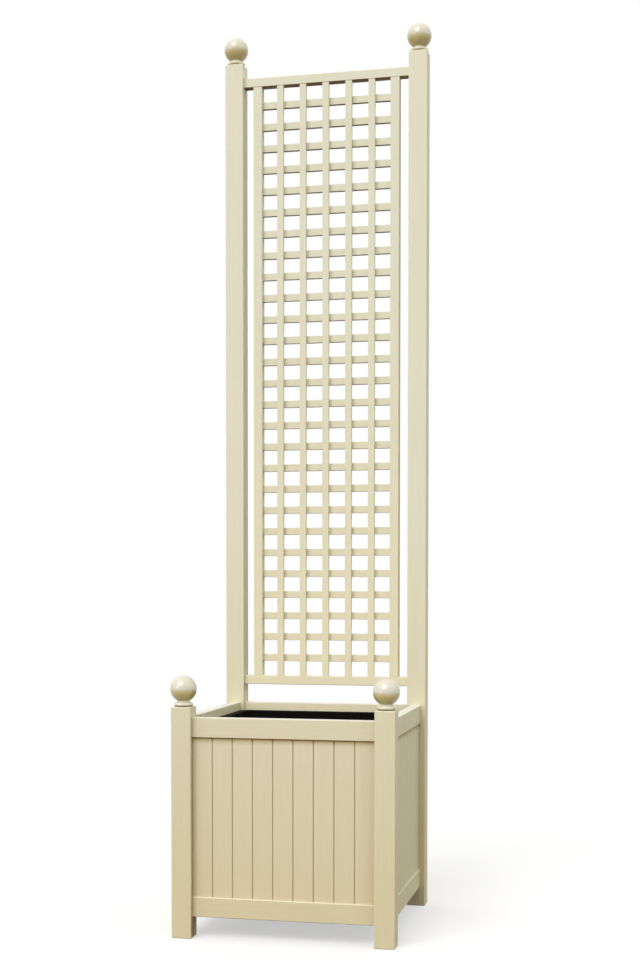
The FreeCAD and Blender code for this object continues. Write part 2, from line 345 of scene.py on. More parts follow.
def arc_through(start: Pair, middle: Pair, end: Pair, count: int) -> list[Pair]:
    """Points on the circular arc through three points, without its start.

    Args:
        start: first point.
        middle: a point on the arc.
        end: last point.
        count: how many points to give.

    Returns:
        The points after the start, the last one being the end.
    """
    (ax, ay), (bx, by), (cx, cy) = start, middle, end
    double = 2 * (ax * (by - cy) + bx * (cy - ay) + cx * (ay - by))
    squares = [ax * ax + ay * ay, bx * bx + by * by, cx * cx + cy * cy]
    ox = (squares[0] * (by - cy) + squares[1] * (cy - ay) + squares[2] * (ay - by)) / double
    oy = (squares[0] * (cx - bx) + squares[1] * (ax - cx) + squares[2] * (bx - ax)) / double
    radius = math.hypot(ax - ox, ay - oy)
    angles = [math.atan2(y - oy, x - ox) for x, y in (start, middle, end)]
    full = 2 * math.pi
    sweep = (angles[2] - angles[0]) % full
    if (angles[1] - angles[0]) % full > sweep:
        sweep -= full
    points = []
    for step in range(1, count + 1):
        angle = angles[0] + sweep * step / count
        points.append((ox + radius * math.cos(angle), oy + radius * math.sin(angle)))
    return points


def hand_over(piece: Piece, finish: "Finish", body: Body, *nodes: str) -> Piece:
    """Dresses a finished piece and lets it stand for its CAD nodes.

    Args:
        piece: the finished piece.
        finish: what it is painted with or made of.
        body: the body it moves with.
        *nodes: the CAD nodes that it stands for.

    Returns:
        The same piece.
    """
    piece.data.materials.clear()
    piece.data.materials.append(finish.material())
    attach(piece, body.value)
    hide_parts(*nodes)
    LOG.info("%s: %d faces, %s", piece.name, len(piece.data.polygons), finish.name)
    return piece


# ------------------------------------------------------------------------------ shading tools
class Shade:
    """A node tree that is built up call by call."""

    def __init__(self, tree: bpy.types.NodeTree) -> None:
        """Starts on an empty tree."""
        self.tree = tree
        self.tree.nodes.clear()

    def feed(self, node: Node, inputs: dict) -> None:
        """Gives a node its inputs.

        Args:
            node: the node.
            inputs: its input sockets, each with a value or with the socket that feeds it.
        """
        for key, value in inputs.items():
            if isinstance(value, Socket):
                self.tree.links.new(value, node.inputs[key])
            else:
                node.inputs[key].default_value = value

    def add(self, kind: str, inputs: dict | None = None, **settings: object) -> Node:
        """Adds a node.

        Args:
            kind: the node's type.
            inputs: its input sockets, each with a value or with the socket that feeds it.
            **settings: its own properties.

        Returns:
            The node.
        """
        node = self.tree.nodes.new(kind)
        for key, value in settings.items():
            setattr(node, key, value)
        self.feed(node, inputs or {})
        return node

    def maths(self, operation: str, *values: object, clamp: bool = False) -> Socket:
        """A sum on one or two numbers or sockets, kept between 0 and 1 where clamp says so."""
        node = self.add("ShaderNodeMath", dict(enumerate(values)), operation=operation, use_clamp=clamp)
        return node.outputs[0]

    def product(self, first: object, *others: object) -> Socket:
        """Multiplies numbers or sockets.

        Args:
            first: the first factor.
            *others: the other factors.

        Returns:
            The product.
        """
        result = first
        for other in others:
            result = self.maths("MULTIPLY", result, other)
        return result

    def vector(self, operation: str, *values: object) -> Socket:
        """A sum on vectors, or on the sockets that carry them."""
        node = self.add("ShaderNodeVectorMath", dict(enumerate(values)), operation=operation)
        return node.outputs[0]

    def reach(self, place: Socket) -> Socket:
        """The length of a vector."""
        return self.add("ShaderNodeVectorMath", {0: place}, operation="LENGTH").outputs["Value"]

    def axes(self, vector: Socket) -> Sockets:
        """The X, Y and Z of a vector."""
        return self.add("ShaderNodeSeparateXYZ", {0: vector}).outputs

    def noise(self, place: Socket, scale: float, detail: float = 3.0, rough: float = 0.55) -> Socket:
        """A smooth noise between 0 and 1, read at a place.

        Args:
            place: where it is read.
            scale: its features per metre.
            detail: how many finer layers it has.
            rough: how strong they are.

        Returns:
            The noise.
        """
        inputs = {
            "Vector": place,
            "Scale": scale,
            "Detail": detail,
            "Roughness": rough,
        }
        return self.add("ShaderNodeTexNoise", inputs).outputs["Fac"]

    def spread(self, value: Socket, low: float, high: float, to_low: float, to_high: float) -> Socket:
        """Maps the range of a value from low to high to the range from to_low to to_high."""
        inputs = {0: value, 1: low, 2: high, 3: to_low, 4: to_high}
        return self.add("ShaderNodeMapRange", inputs).outputs[0]

    def blend(self, share: object, first: object, second: object, how: str = "MIX") -> Socket:
        """Mixes two colours.

        Args:
            share: how much of the second.
            first: a colour or a socket.
            second: a colour or a socket.
            how: the way they are mixed.

        Returns:
            The colour.
        """
        node = self.add("ShaderNodeMix", data_type="RGBA", blend_type=how)
        self.feed(node, {0: share, 6: first, 7: second})  # the node's sockets for colours
        return node.outputs[2]

    def tint(self, share: object, colour: object, by: object) -> Socket:
        """Multiplies a share of a colour by another colour."""
        return self.blend(share, colour, self.blend(1.0, colour, by, "MULTIPLY"))


class Effect:
    """A shader node group that several finishes share, built once.

    Its spans are named class values: where in a mask or noise an effect starts and ends, and how strong it
    is at either end.
    """

    name = ""
    inputs: tuple[tuple[str, str], ...] = ()  # name and kind of each input socket
    outputs: tuple[tuple[str, str], ...] = ()  # name and kind of each output socket

    def group(self) -> bpy.types.NodeTree:
        """The node group.

        Returns:
            The group, made the first time it is asked for.
        """
        made = bpy.data.node_groups.get(self.name)
        if made is not None:
            return made
        made = bpy.data.node_groups.new(self.name, "ShaderNodeTree")
        for way, sockets in (("INPUT", self.inputs), ("OUTPUT", self.outputs)):
            for socket, kind in sockets:
                made.interface.new_socket(socket, in_out=way, socket_type=kind)
        shade = Shade(made)
        start = shade.add("NodeGroupInput")
        shade.add("NodeGroupOutput", self.build(shade, start.outputs))
        return made

    def build(self, shade: Shade, given: Sockets) -> dict[str, Socket]:
        """Builds the inside of the group; each effect has its own."""
        raise NotImplementedError

    def place(self, shade: Shade, inputs: dict) -> Sockets:
        """Puts the group into a material.

        Args:
            shade: the material's tree.
            inputs: values or sockets for the group's inputs.

        Returns:
            The group's outputs.
        """
        node = shade.add("ShaderNodeGroup")
        node.node_tree = self.group()
        shade.feed(node, inputs)
        return node.outputs


class BrushMarks(Effect):
    """Brush marks and raised grain that run along a member, and slow drift over the whole piece."""

    name = "brush_marks"
    inputs = (("Place", "NodeSocketVector"), ("Stretch", "NodeSocketVector"))
    outputs = (
        ("Grain", "NodeSocketFloat"),
        ("Brush", "NodeSocketFloat"),
        ("Drift", "NodeSocketFloat"),
    )
    grain_scale = 170.0  # features per metre, as for the other scales
    brush_scale = 620.0
    drift_scale = 3.1
    sway_scale = 6.0
    sway_width = 0.004  # how far the grain wanders sideways, in metres

    def build(self, shade: Shade, given: Sockets) -> dict[str, Socket]:
        """Three noises, two of them drawn out along the grain.

        Args:
            shade: the group's tree.
            given: the group's inputs.

        Returns:
            What feeds each output.
        """
        drawn = shade.vector("MULTIPLY", given["Place"], given["Stretch"])
        sway = shade.noise(given["Place"], self.sway_scale, detail=1.0)
        shift = shade.add("ShaderNodeCombineXYZ", {"X": sway, "Y": sway, "Z": sway})
        swayed = shade.vector("MULTIPLY_ADD", shift.outputs[0], (self.sway_width,) * 3, drawn)
        return {
            "Grain": shade.noise(swayed, self.grain_scale, detail=4.0, rough=0.6),
            "Brush": shade.noise(drawn, self.brush_scale, detail=2.0, rough=0.5),
            "Drift": shade.noise(given["Place"], self.drift_scale, detail=2.0, rough=0.5),
        }


class ArrisMask(Effect):
    """1 on the roundings between flats that face along the axes, 0 on the flats."""

    name = "arris_mask"
    inputs = (("Facing", "NodeSocketVector"),)
    outputs = (("Mask", "NodeSocketFloat"),)
    turned = (0.995, 0.8, 0.0, 1.0)  # the largest part of the facing, from a flat to a rounding

    def build(self, shade: Shade, given: Sockets) -> dict[str, Socket]:
        """The further the facing is from every axis, the more it is a rounding.

        Args:
            shade: the group's tree.
            given: the group's inputs.

        Returns:
            What feeds each output.
        """
        parts = shade.axes(shade.vector("ABSOLUTE", given["Facing"]))
        most = shade.maths("MAXIMUM", shade.maths("MAXIMUM", parts[0], parts[1]), parts[2])
        return {"Mask": shade.spread(most, *self.turned)}


class PaintFilm(Effect):
    """Colour, roughness and surface height of a brushed coat of paint."""

    name = "paint_film"
    inputs = (
        ("Colour", "NodeSocketColor"),
        ("Shade", "NodeSocketColor"),
        ("Rubbed", "NodeSocketColor"),
        # painted light: paler paint higher up, and a painted highlight on tops
        ("Bleached", "NodeSocketColor"),
        ("Chalked", "NodeSocketColor"),
        # colour of the painted shade
        ("Dusk", "NodeSocketColor"),
        ("Bleach", "NodeSocketFloat"),
        ("Top highlight", "NodeSocketFloat"),
        # how much painted shade lies where
        ("Tone", "NodeSocketFloat"),
        ("Grain", "NodeSocketFloat"),
        ("Brush", "NodeSocketFloat"),
        ("Drift", "NodeSocketFloat"),
        ("Arris", "NodeSocketFloat"),
        ("Roughness", "NodeSocketFloat"),
    )
    outputs = (
        ("Colour", "NodeSocketColor"),
        ("Roughness", "NodeSocketFloat"),
        ("Height", "NodeSocketFloat"),
    )
    # how much of the shade shows in the grain, in the brush marks and in slow patches
    in_grain = (0.62, 0.30, 0.0, 0.28)
    in_marks = (0.70, 0.30, 0.0, 0.14)
    in_patches = (0.35, 0.70, 0.0, 0.22)
    # how far the arrises are rubbed, and what that adds to the roughness
    wear = (0.30, 0.65, 0.25, 0.85)
    wear_roughness = -0.06
    # what brush marks and patches add to the roughness
    marks_roughness = (0.3, 0.7, -0.05, 0.06)
    patch_roughness = (0.3, 0.7, -0.04, 0.05)
    # shares of grain and brush marks in the relief
    grain_relief = 0.7
    marks_relief = 0.3

    def build(self, shade: Shade, given: Sockets) -> dict[str, Socket]:
        """Shades along the grain, lightens worn arrises, paints light high up and on tops, and shade in
        corners.

        Args:
            shade: the group's tree.
            given: the group's inputs.

        Returns:
            What feeds each output.
        """
        streak = shade.spread(given["Grain"], *self.in_grain)
        fine = shade.spread(given["Brush"], *self.in_marks)
        patch = shade.spread(given["Drift"], *self.in_patches)
        amount = shade.maths("ADD", shade.maths("ADD", streak, fine), patch, clamp=True)
        # painted light: paler paint higher up, then a painted highlight on tops
        fresh = shade.blend(given["Bleach"], given["Colour"], given["Bleached"])
        fresh = shade.blend(given["Top highlight"], fresh, given["Chalked"])
        film = shade.tint(amount, fresh, given["Shade"])
        rubbed = shade.product(given["Arris"], shade.spread(given["Drift"], *self.wear))
        clean = shade.blend(rubbed, film, given["Rubbed"])
        dull = shade.spread(given["Brush"], *self.marks_roughness)
        uneven = shade.spread(given["Drift"], *self.patch_roughness)
        rough = shade.maths("ADD", shade.maths("ADD", given["Roughness"], dull), uneven)
        worn = shade.product(rubbed, self.wear_roughness)
        grain = shade.product(given["Grain"], self.grain_relief)
        marks = shade.product(given["Brush"], self.marks_relief)
        return {
            # painted shade in corners, in grooves and on undersides
            "Colour": shade.tint(given["Tone"], clean, given["Dusk"]),
            "Roughness": shade.maths("ADD", rough, worn, clamp=True),
            "Height": shade.maths("ADD", grain, marks),
        }


class SunBleach(Effect):
    """Painted light: paler paint higher up, and a painted highlight on what faces up."""

    name = "sun_bleach"
    inputs = (
        ("Place", "NodeSocketVector"),
        ("Facing", "NodeSocketVector"),
        ("Drift", "NodeSocketFloat"),
        ("From", "NodeSocketFloat"),
        ("To", "NodeSocketFloat"),
    )
    outputs = (("Bleach", "NodeSocketFloat"), ("Top highlight", "NodeSocketFloat"))
    patches = (0.3, 0.7, -0.06, 0.06)  # how uneven both are
    facing_up = (0.35, 0.95, 0.0, 1.0)
    # how much painted highlight lies on what faces straight up
    chalkiness = 0.94  # of what faces straight up

    def build(self, shade: Shade, given: Sockets) -> dict[str, Socket]:
        """Painted light that rises between two heights, and a painted highlight on tops, both a little uneven.

        Args:
            shade: the group's tree.
            given: the group's inputs.

        Returns:
            What feeds each output.
        """
        rise = shade.spread(shade.axes(given["Place"])["Z"], given["From"], given["To"], 0.0, 1.0)
        uneven = shade.spread(given["Drift"], *self.patches)
        up = shade.spread(shade.axes(given["Facing"])["Z"], *self.facing_up)
        return {
            "Bleach": shade.maths("ADD", rise, uneven, clamp=True),
            "Top highlight": shade.product(up, shade.maths("ADD", uneven, self.chalkiness)),
        }


class CornerTone(Effect):
    """Painted shade: darker paint beside the posts, under the top rails, in the V grooves and on undersides.

    The corners are found from the plan, which is square: on every side of the planter the nearer of the two
    places along X and Y runs along the side, and the farther runs through it.
    """

    name = "corner_tone"
    inputs = (
        ("Place", "NodeSocketVector"),
        ("Facing", "NodeSocketVector"),
        ("Groove", "NodeSocketFloat"),
        ("Corner", "NodeSocketFloat"),
    )
    outputs = (("Tone", "NodeSocketFloat"),)
    post_side = 205.0 * MM  # place of the posts' inner faces
    post_face = 250.0 * MM  # place of the posts' outer faces
    board_face = 234.5 * MM  # place of the boards' outer faces
    board_back = 225.5 * MM  # place of the boards' inner faces
    rail_foot = 445.3 * MM  # underside of the top rails
    # painted shade beside the posts: its reach along a side, how fast it fades, and the heights where it ends
    beside_reach = 45.0 * MM
    beside_fade = 1.3
    recess_fade = 2.0
    beside_top = (486.3 * MM, 490.3 * MM)
    board_skin = 3.0 * MM  # how deep it goes into the boards' backs
    # painted shade under the top rails, from its foot to full, and where it ends on the rail and in front
    strip_reach = (18.0 * MM, 1.0 * MM)
    strip_fade = 2.0
    strip_end = (0.2 * MM, 0.6 * MM)
    strip_front = (3.0 * MM, 0.5 * MM)
    strip_depth = 0.9
    # painted shade on undersides, from where the facing starts to turn down to where it is full
    facing_down = (-0.1, -0.7, 0.0, 1.0)

    def build(self, shade: Shade, given: Sockets) -> dict[str, Socket]:
        """Adds up the four kinds of painted shade, each fading away from its corner.

        Args:
            shade: the group's tree.
            given: the group's inputs.

        Returns:
            What feeds each output.
        """
        plan = shade.axes(shade.vector("ABSOLUTE", given["Place"]))
        beside = shade.maths("MINIMUM", plan["X"], plan["Y"])
        through = shade.maths("MAXIMUM", plan["X"], plan["Y"])
        near_post = shade.spread(beside, self.post_side - self.beside_reach, self.post_side, 0.0, 1.0)
        recessed = shade.spread(through, self.post_face, self.board_face, 0.0, 1.0)
        # painted shade in the corners beside the posts
        corner = shade.product(
            shade.maths("POWER", near_post, self.beside_fade),
            shade.maths("POWER", recessed, self.recess_fade),
            shade.spread(plan["Z"], self.beside_top[1], self.beside_top[0], 0.0, 1.0),
            shade.spread(through, self.board_back - self.board_skin, self.board_back, 0.0, 1.0),
            given["Corner"],
        )
        foot, full = (self.rail_foot - reach for reach in self.strip_reach)
        end, gone = (self.rail_foot + reach for reach in self.strip_end)
        front, face = (self.board_face + reach for reach in self.strip_front)
        # painted shade in the strip under the top rails
        strip = shade.product(
            shade.maths("POWER", shade.spread(plan["Z"], foot, full, 0.0, 1.0), self.strip_fade),
            shade.spread(plan["Z"], end, gone, 1.0, 0.0),
            shade.spread(through, front, face, 0.0, self.strip_depth),
        )
        under = shade.spread(shade.axes(given["Facing"])["Z"], *self.facing_down)
        corners = shade.maths("ADD", corner, strip)
        return {"Tone": shade.maths("ADD", corners, shade.maths("ADD", under, given["Groove"]), clamp=True)}


class TimberFigure(Effect):
    """Growth rings and fibres of plain sawn softwood."""

    name = "timber_figure"
    inputs = (
        ("Place", "NodeSocketVector"),
        ("Stretch", "NodeSocketVector"),
        ("Early", "NodeSocketColor"),
        ("Late", "NodeSocketColor"),
    )
    outputs = (("Colour", "NodeSocketColor"), ("Height", "NodeSocketFloat"))
    pith = (0.013, 0.021, 0.040)  # from the pith to the origin, in metres
    rings = 260.0  # per metre
    bend_scale = 9.0
    bend = 9.0  # by how many rings they bend
    late_wood = (0.45, 0.98, 0.0, 1.0)
    fibre_scale = 900.0
    fibre_shade = (0.35, 0.7, 0.0, 0.35)
    late_share = 0.6
    # shares of fibres and rings in the relief
    fibre_relief = 0.6
    ring_relief = 0.4

    def build(self, shade: Shade, given: Sockets) -> dict[str, Socket]:
        """Rings about a pith below the piece, bent by slow noise, with fine fibres over them.

        Args:
            shade: the group's tree.
            given: the group's inputs.

        Returns:
            What feeds each output.
        """
        drawn = shade.vector("MULTIPLY", given["Place"], given["Stretch"])
        bent = shade.noise(drawn, self.bend_scale, detail=2.0)
        reach = shade.reach(shade.vector("ADD", drawn, self.pith))
        years = shade.maths("ADD", shade.product(reach, self.rings), shade.product(bent, self.bend))
        late = shade.spread(shade.maths("FRACT", years), *self.late_wood)
        fibre = shade.noise(drawn, self.fibre_scale, detail=2.0, rough=0.6)
        fine = shade.spread(fibre, *self.fibre_shade)
        amount = shade.maths("ADD", shade.product(late, self.late_share), fine, clamp=True)
        relief = (shade.product(fibre, self.fibre_relief), shade.product(late, self.ring_relief))
        return {
            "Colour": shade.blend(amount, given["Early"], given["Late"]),
            "Height": shade.maths("ADD", *relief),
        }


# ------------------------------------------------------------------------------ finishes
@dataclass(frozen=True)
class Finish:
    """What a piece is painted with or made of.

    Attributes:
        name: the material's name.
        slot: the record's slot that it belongs to; not used.
    """

    name: str
    slot: Slot

    def material(self) -> bpy.types.Material:
        """The finish as a material.

        Returns:
            The material, made the first time it is asked for.
        """
        made = bpy.data.materials.get(self.name)
        if made is None:
            made = bpy.data.materials.new(self.name)
            made.use_nodes = True
            shade = Shade(made.node_tree)
            surface = self.dress(shade)
            shade.add("ShaderNodeOutputMaterial", {"Surface": surface.outputs[0]})
        return made

    def dress(self, shade: Shade) -> Node:
        """Builds the surface; each finish has its own."""
        raise NotImplementedError


@dataclass(frozen=True)
class BrushedPaint(Finish):
    """Cream paint brushed along the grain.

    Attributes:
        grain: the way the grain runs.
        colour: the paint near the ground.
        bleached: the paint higher up, paler with painted light.
        shade: what tints it where it lies thin or in the grain.
        rubbed: the same paint on an arris.
        chalked: the colour of the painted highlight on what faces up.
        dusk: the colour of the painted shade in corners and on undersides.
        bleach_span: the heights between which painted light makes the paint paler.
        groove: how much painted shade lies on the slopes of its V joints, from 0 to 1.
        corner: how much painted shade lies beside the posts, from 0 to 1.
        roughness: how matt it is.
        sheen: how strongly it mirrors, from 0 to 1.
        relief: how strongly grain and brush marks show in the light.
        relief_depth: how deep they are.
    """

    grain: Grain
    colour: Colour
    bleached: Colour
    shade: Colour
    rubbed: Colour
    chalked: Colour = (0.740, 0.730, 0.690, 1.0)
    dusk: Colour = (0.440, 0.300, 0.090, 1.0)
    bleach_span: Pair = (0.10, 1.00)
    groove: float = 0.0
    corner: float = 0.17
    roughness: float = 0.58
    sheen: float = 0.14
    relief: float = 0.12
    relief_depth: float = 0.4 * MM

    def dress(self, shade: Shade) -> Node:
        """Brush marks, rubbed arrises and a satin film.

        Args:
            shade: the material's tree.

        Returns:
            The surface.
        """
        where = shade.add("ShaderNodeTexCoord").outputs
        spot = {"Place": where["Object"], "Facing": where["Normal"]}
        marks = BrushMarks().place(shade, {"Place": where["Object"], "Stretch": self.grain.value})
        arris = ArrisMask().place(shade, {"Facing": where["Normal"]})["Mask"]
        # painted light: paler paint higher up, and a painted highlight on what faces up
        low, high = self.bleach_span
        sun = SunBleach().place(shade, {**spot, "Drift": marks["Drift"], "From": low, "To": high})
        # painted shade in the V grooves, beside the posts, under the top rails and on undersides
        groove = shade.product(arris, self.groove)
        painted_shade = CornerTone().place(shade, {**spot, "Groove": groove, "Corner": self.corner})["Tone"]
        film = PaintFilm().place(
            shade,
            {
                "Colour": self.colour,
                "Bleached": self.bleached,
                "Bleach": sun["Bleach"],
                "Chalked": self.chalked,
                "Top highlight": sun["Top highlight"],
                "Dusk": self.dusk,
                "Tone": painted_shade,
                "Shade": self.shade,
                "Rubbed": self.rubbed,
                "Grain": marks["Grain"],
                "Brush": marks["Brush"],
                "Drift": marks["Drift"],
                "Arris": arris,
                "Roughness": self.roughness,
            },
        )
        relief = {"Height": film["Height"], "Strength": self.relief, "Distance": self.relief_depth}
        bump = shade.add("ShaderNodeBump", relief)
        return shade.add(
            "ShaderNodeBsdfPrincipled",
            {
                "Base Color": film["Colour"],
                "Roughness": film["Roughness"],
                "Normal": bump.outputs[0],
                "IOR": PAINT_IOR,
                "Specular IOR Level": self.sheen,
            },
        )


@dataclass(frozen=True)
class TurnedGloss(Finish):
    """Several coats of cream paint on a turned ball, rubbed down and glossy.

    Attributes:
        colour: the paint.
        shade: the same paint where it lies thicker.
        mellow: the colour of the painted shade on the lower half of the ball.
        seam: the colour of the painted shade where the base ring sits on its post.
        seats: heights of the post tops that carry the balls.
        seam_reach: how far the painted shade reaches from there, and how far it is full.
        turn_lines: how closely a pattern changes along X, Y and Z to give rings from the turning.
        flow_scale: features of the flow of the paint, per metre.
        ring_shade: where in the rings the shade starts and is full, and how much of it shows there.
        flow_shade: the same for the flow.
        flow_edge: the same for how far the flow moves the edge of the painted shade.
        mellow_edge: the same for the crisp edge of the painted shade, in the upward part of the facing.
        mellow_fade: the same for the painted shade that grows slowly below that edge.
        roughness: of the paint under its gloss, at the ends of the flow.
        gloss: how much clear gloss lies over it.
        gloss_roughness: of the clear gloss.
        relief: how strongly rings and flow show in the light.
        relief_depth: how deep they are.
        ring_relief: share of the rings in that.
    """

    colour: Colour
    shade: Colour
    mellow: Colour
    seam: Colour = (0.180, 0.130, 0.045, 1.0)
    seats: Pair = (512.5 * MM, 2058.5 * MM)
    seam_reach: Pair = (3.6 * MM, 1.2 * MM)
    turn_lines: Triple = (4.0, 4.0, 420.0)
    flow_scale: float = 34.0
    ring_shade: Span = (0.4, 0.7, 0.0, 0.25)
    flow_shade: Span = (0.4, 0.75, 0.0, 0.35)
    flow_edge: Span = (0.3, 0.7, -0.02, 0.02)
    mellow_edge: Span = (0.02, -0.06, 0.0, 0.3)
    mellow_fade: Span = (0.02, -0.36, 0.0, 0.7)
    roughness: Span = (0.3, 0.7, 0.36, 0.46)
    gloss: float = 0.8
    gloss_roughness: float = 0.07
    relief: float = 0.10
    relief_depth: float = 0.6 * MM
    ring_relief: float = 0.25

    def dress(self, shade: Shade) -> Node:
        """Faint rings from the turning under a clear gloss, with painted shade on the underside and at the
        foot.

        Args:
            shade: the material's tree.

        Returns:
            The surface.
        """
        where = shade.add("ShaderNodeTexCoord").outputs
        place = where["Object"]
        rings = shade.noise(shade.vector("MULTIPLY", place, self.turn_lines), 1.0, detail=2.0, rough=0.5)
        flow = shade.noise(place, self.flow_scale, detail=3.0, rough=0.5)
        ring_shade = shade.spread(rings, *self.ring_shade)
        amount = shade.maths("ADD", ring_shade, shade.spread(flow, *self.flow_shade), clamp=True)
        # painted shade on the lower half, with a crisp edge near the middle
        edge = shade.maths("ADD", shade.axes(where["Normal"])["Z"], shade.spread(flow, *self.flow_edge))
        crisp = shade.spread(edge, *self.mellow_edge)
        shaded_share = shade.maths("ADD", crisp, shade.spread(edge, *self.mellow_fade))
        painted = shade.blend(shaded_share, shade.blend(amount, self.colour, self.shade), self.mellow)
        # painted shade where the base ring meets the post top
        height = shade.axes(place)["Z"]
        above = [shade.maths("ABSOLUTE", shade.maths("SUBTRACT", height, seat)) for seat in self.seats]
        seam = shade.spread(shade.maths("MINIMUM", *above), *self.seam_reach, 0.0, 1.0)
        ring_relief = shade.product(rings, self.ring_relief)
        relief = shade.maths("ADD", ring_relief, shade.product(flow, 1.0 - self.ring_relief))
        height_map = {"Height": relief, "Strength": self.relief, "Distance": self.relief_depth}
        bump = shade.add("ShaderNodeBump", height_map)
        return shade.add(
            "ShaderNodeBsdfPrincipled",
            {
                "Base Color": shade.blend(seam, painted, self.seam),
                "Roughness": shade.spread(flow, *self.roughness),
                "Normal": bump.outputs[0],
                "IOR": PAINT_IOR,
                "Coat Weight": self.gloss,
                "Coat Roughness": self.gloss_roughness,
            },
        )


@dataclass(frozen=True)
class MouldedPlastic(Finish):
    """Near-black moulded plastic with a fine sheen.

    Attributes:
        colour: the plastic.
        dusty: the plastic under a film of dust.
        pebble_scale: features of its moulded skin, per metre.
        cloud_scale: features of the dust, per metre.
        settled: where in the upward part of the facing dust starts and is full, and how much lies there.
        clouds: the same for where in the clouds it lies.
        roughness: the same for how matt it is.
        edge_polish: what rubbed edges take off the roughness.
        relief: how strongly the skin shows in the light.
        relief_depth: how deep it is.
        ior: how it bends light.
    """

    colour: Colour
    dusty: Colour
    pebble_scale: float = 1500.0
    cloud_scale: float = 14.0
    settled: Span = (0.3, 1.0, 0.05, 0.8)
    clouds: Span = (0.4, 0.75, 0.1, 1.0)
    roughness: Span = (0.3, 0.7, 0.78, 0.92)
    edge_polish: float = 0.08
    relief: float = 0.18
    relief_depth: float = 0.3 * MM
    ior: float = 1.16

    def dress(self, shade: Shade) -> Node:
        """A pebbled matt skin, a little dust on what faces up, and rubbed edges.

        Args:
            shade: the material's tree.

        Returns:
            The surface.
        """
        where = shade.add("ShaderNodeTexCoord").outputs
        pebble = shade.noise(where["Object"], self.pebble_scale, detail=2.0, rough=0.5)
        cloud = shade.noise(where["Object"], self.cloud_scale, detail=4.0, rough=0.6)
        settled = shade.spread(shade.axes(where["Normal"])["Z"], *self.settled)
        dust = shade.maths("MULTIPLY", settled, shade.spread(cloud, *self.clouds), clamp=True)
        arris = ArrisMask().place(shade, {"Facing": where["Normal"]})["Mask"]
        rough = shade.spread(cloud, *self.roughness)
        sheen = shade.maths("SUBTRACT", rough, shade.product(arris, self.edge_polish), clamp=True)
        relief = {"Height": pebble, "Strength": self.relief, "Distance": self.relief_depth}
        bump = shade.add("ShaderNodeBump", relief)
        return shade.add(
            "ShaderNodeBsdfPrincipled",
            {
                "Base Color": shade.blend(dust, self.colour, self.dusty),
                "Roughness": sheen,
                "Normal": bump.outputs[0],
                "IOR": self.ior,
            },
        )


@dataclass(frozen=True)
class BareTimber(Finish):
    """Sawn softwood without a finish.

    Attributes:
        grain: the way the grain runs.
        early: the pale wood of a ring.
        late: the dark wood of a ring.
        edge_dirt: how dark the arrises are.
        roughness: where in the relief it starts and ends, and how matt it is there.
        relief: how strongly it shows in the light.
        relief_depth: how deep it is.
        ior: how it bends light.
    """

    grain: Grain
    early: Colour = (0.62, 0.42, 0.23, 1.0)
    late: Colour = (0.36, 0.19, 0.08, 1.0)
    edge_dirt: float = 0.35
    roughness: Span = (0.2, 0.8, 0.62, 0.80)
    relief: float = 0.45
    relief_depth: float = 0.5 * MM
    ior: float = 1.45

    def dress(self, shade: Shade) -> Node:
        """Rings and fibres with worn arrises.

        Args:
            shade: the material's tree.

        Returns:
            The surface.
        """
        where = shade.add("ShaderNodeTexCoord").outputs
        wood = {"Place": where["Object"], "Stretch": self.grain.value, "Early": self.early, "Late": self.late}
        figure = TimberFigure().place(shade, wood)
        arris = ArrisMask().place(shade, {"Facing": where["Normal"]})["Mask"]
        relief = {"Height": figure["Height"], "Strength": self.relief, "Distance": self.relief_depth}
        bump = shade.add("ShaderNodeBump", relief)
        return shade.add(
            "ShaderNodeBsdfPrincipled",
            {
                "Base Color": shade.blend(shade.product(arris, self.edge_dirt), figure["Colour"], self.late),
                "Roughness": shade.spread(figure["Height"], *self.roughness),
                "Normal": bump.outputs[0],
                "IOR": self.ior,
            },
        )


CREAM = (0.635, 0.562, 0.368, 1.0)
# the paint higher up, paler with painted light
HIGH_LIT_CREAM = (0.710, 0.690, 0.550, 1.0)
THIN = (0.900, 0.880, 0.820, 1.0)
RUBBED = (0.760, 0.700, 0.520, 1.0)
TRELLIS_CREAM = (0.730, 0.670, 0.480, 1.0)
# colour of the trellis's painted shade in corners and on undersides
TRELLIS_SHADE_COLOUR = (0.270, 0.160, 0.025, 1.0)
TRELLIS_LIGHT_SPAN = (0.60, 1.60)  # the heights between which painted light makes it paler
# painted shade on the posts beside the boards
POST_CORNER_SHADE = {"front": 0.85, "back": 0.12}  # how dark the posts are beside the boards, from 0 to 1


def rail_paint(grain: Grain) -> BrushedPaint:
    """The paint of the planter's rails, for one way of the grain."""
    return BrushedPaint(f"rail_paint_{grain.name.lower()}", Slot.FRAME, grain, CREAM, HIGH_LIT_CREAM, THIN, RUBBED)


def post_paint(row: str) -> BrushedPaint:
    """The paint of the "front" or "back" posts, with painted shade beside the boards, heavier at the front."""
    paints = (CREAM, HIGH_LIT_CREAM, THIN, RUBBED)
    return BrushedPaint(f"{row}_post_paint", Slot.FRAME, Grain.ALONG_Z, *paints, corner=POST_CORNER_SHADE[row])


def trellis_paint(grain: Grain) -> BrushedPaint:
    """The paint of the trellis.

    Args:
        grain: the way the member's grain runs.

    Returns:
        The paint for that grain.
    """
    return BrushedPaint(
        f"trellis_paint_{grain.name.lower()}",
        Slot.TRELLIS,
        grain,
        TRELLIS_CREAM,
        HIGH_LIT_CREAM,
        THIN,
        RUBBED,
        dusk=TRELLIS_SHADE_COLOUR,
        bleach_span=TRELLIS_LIGHT_SPAN,
    )


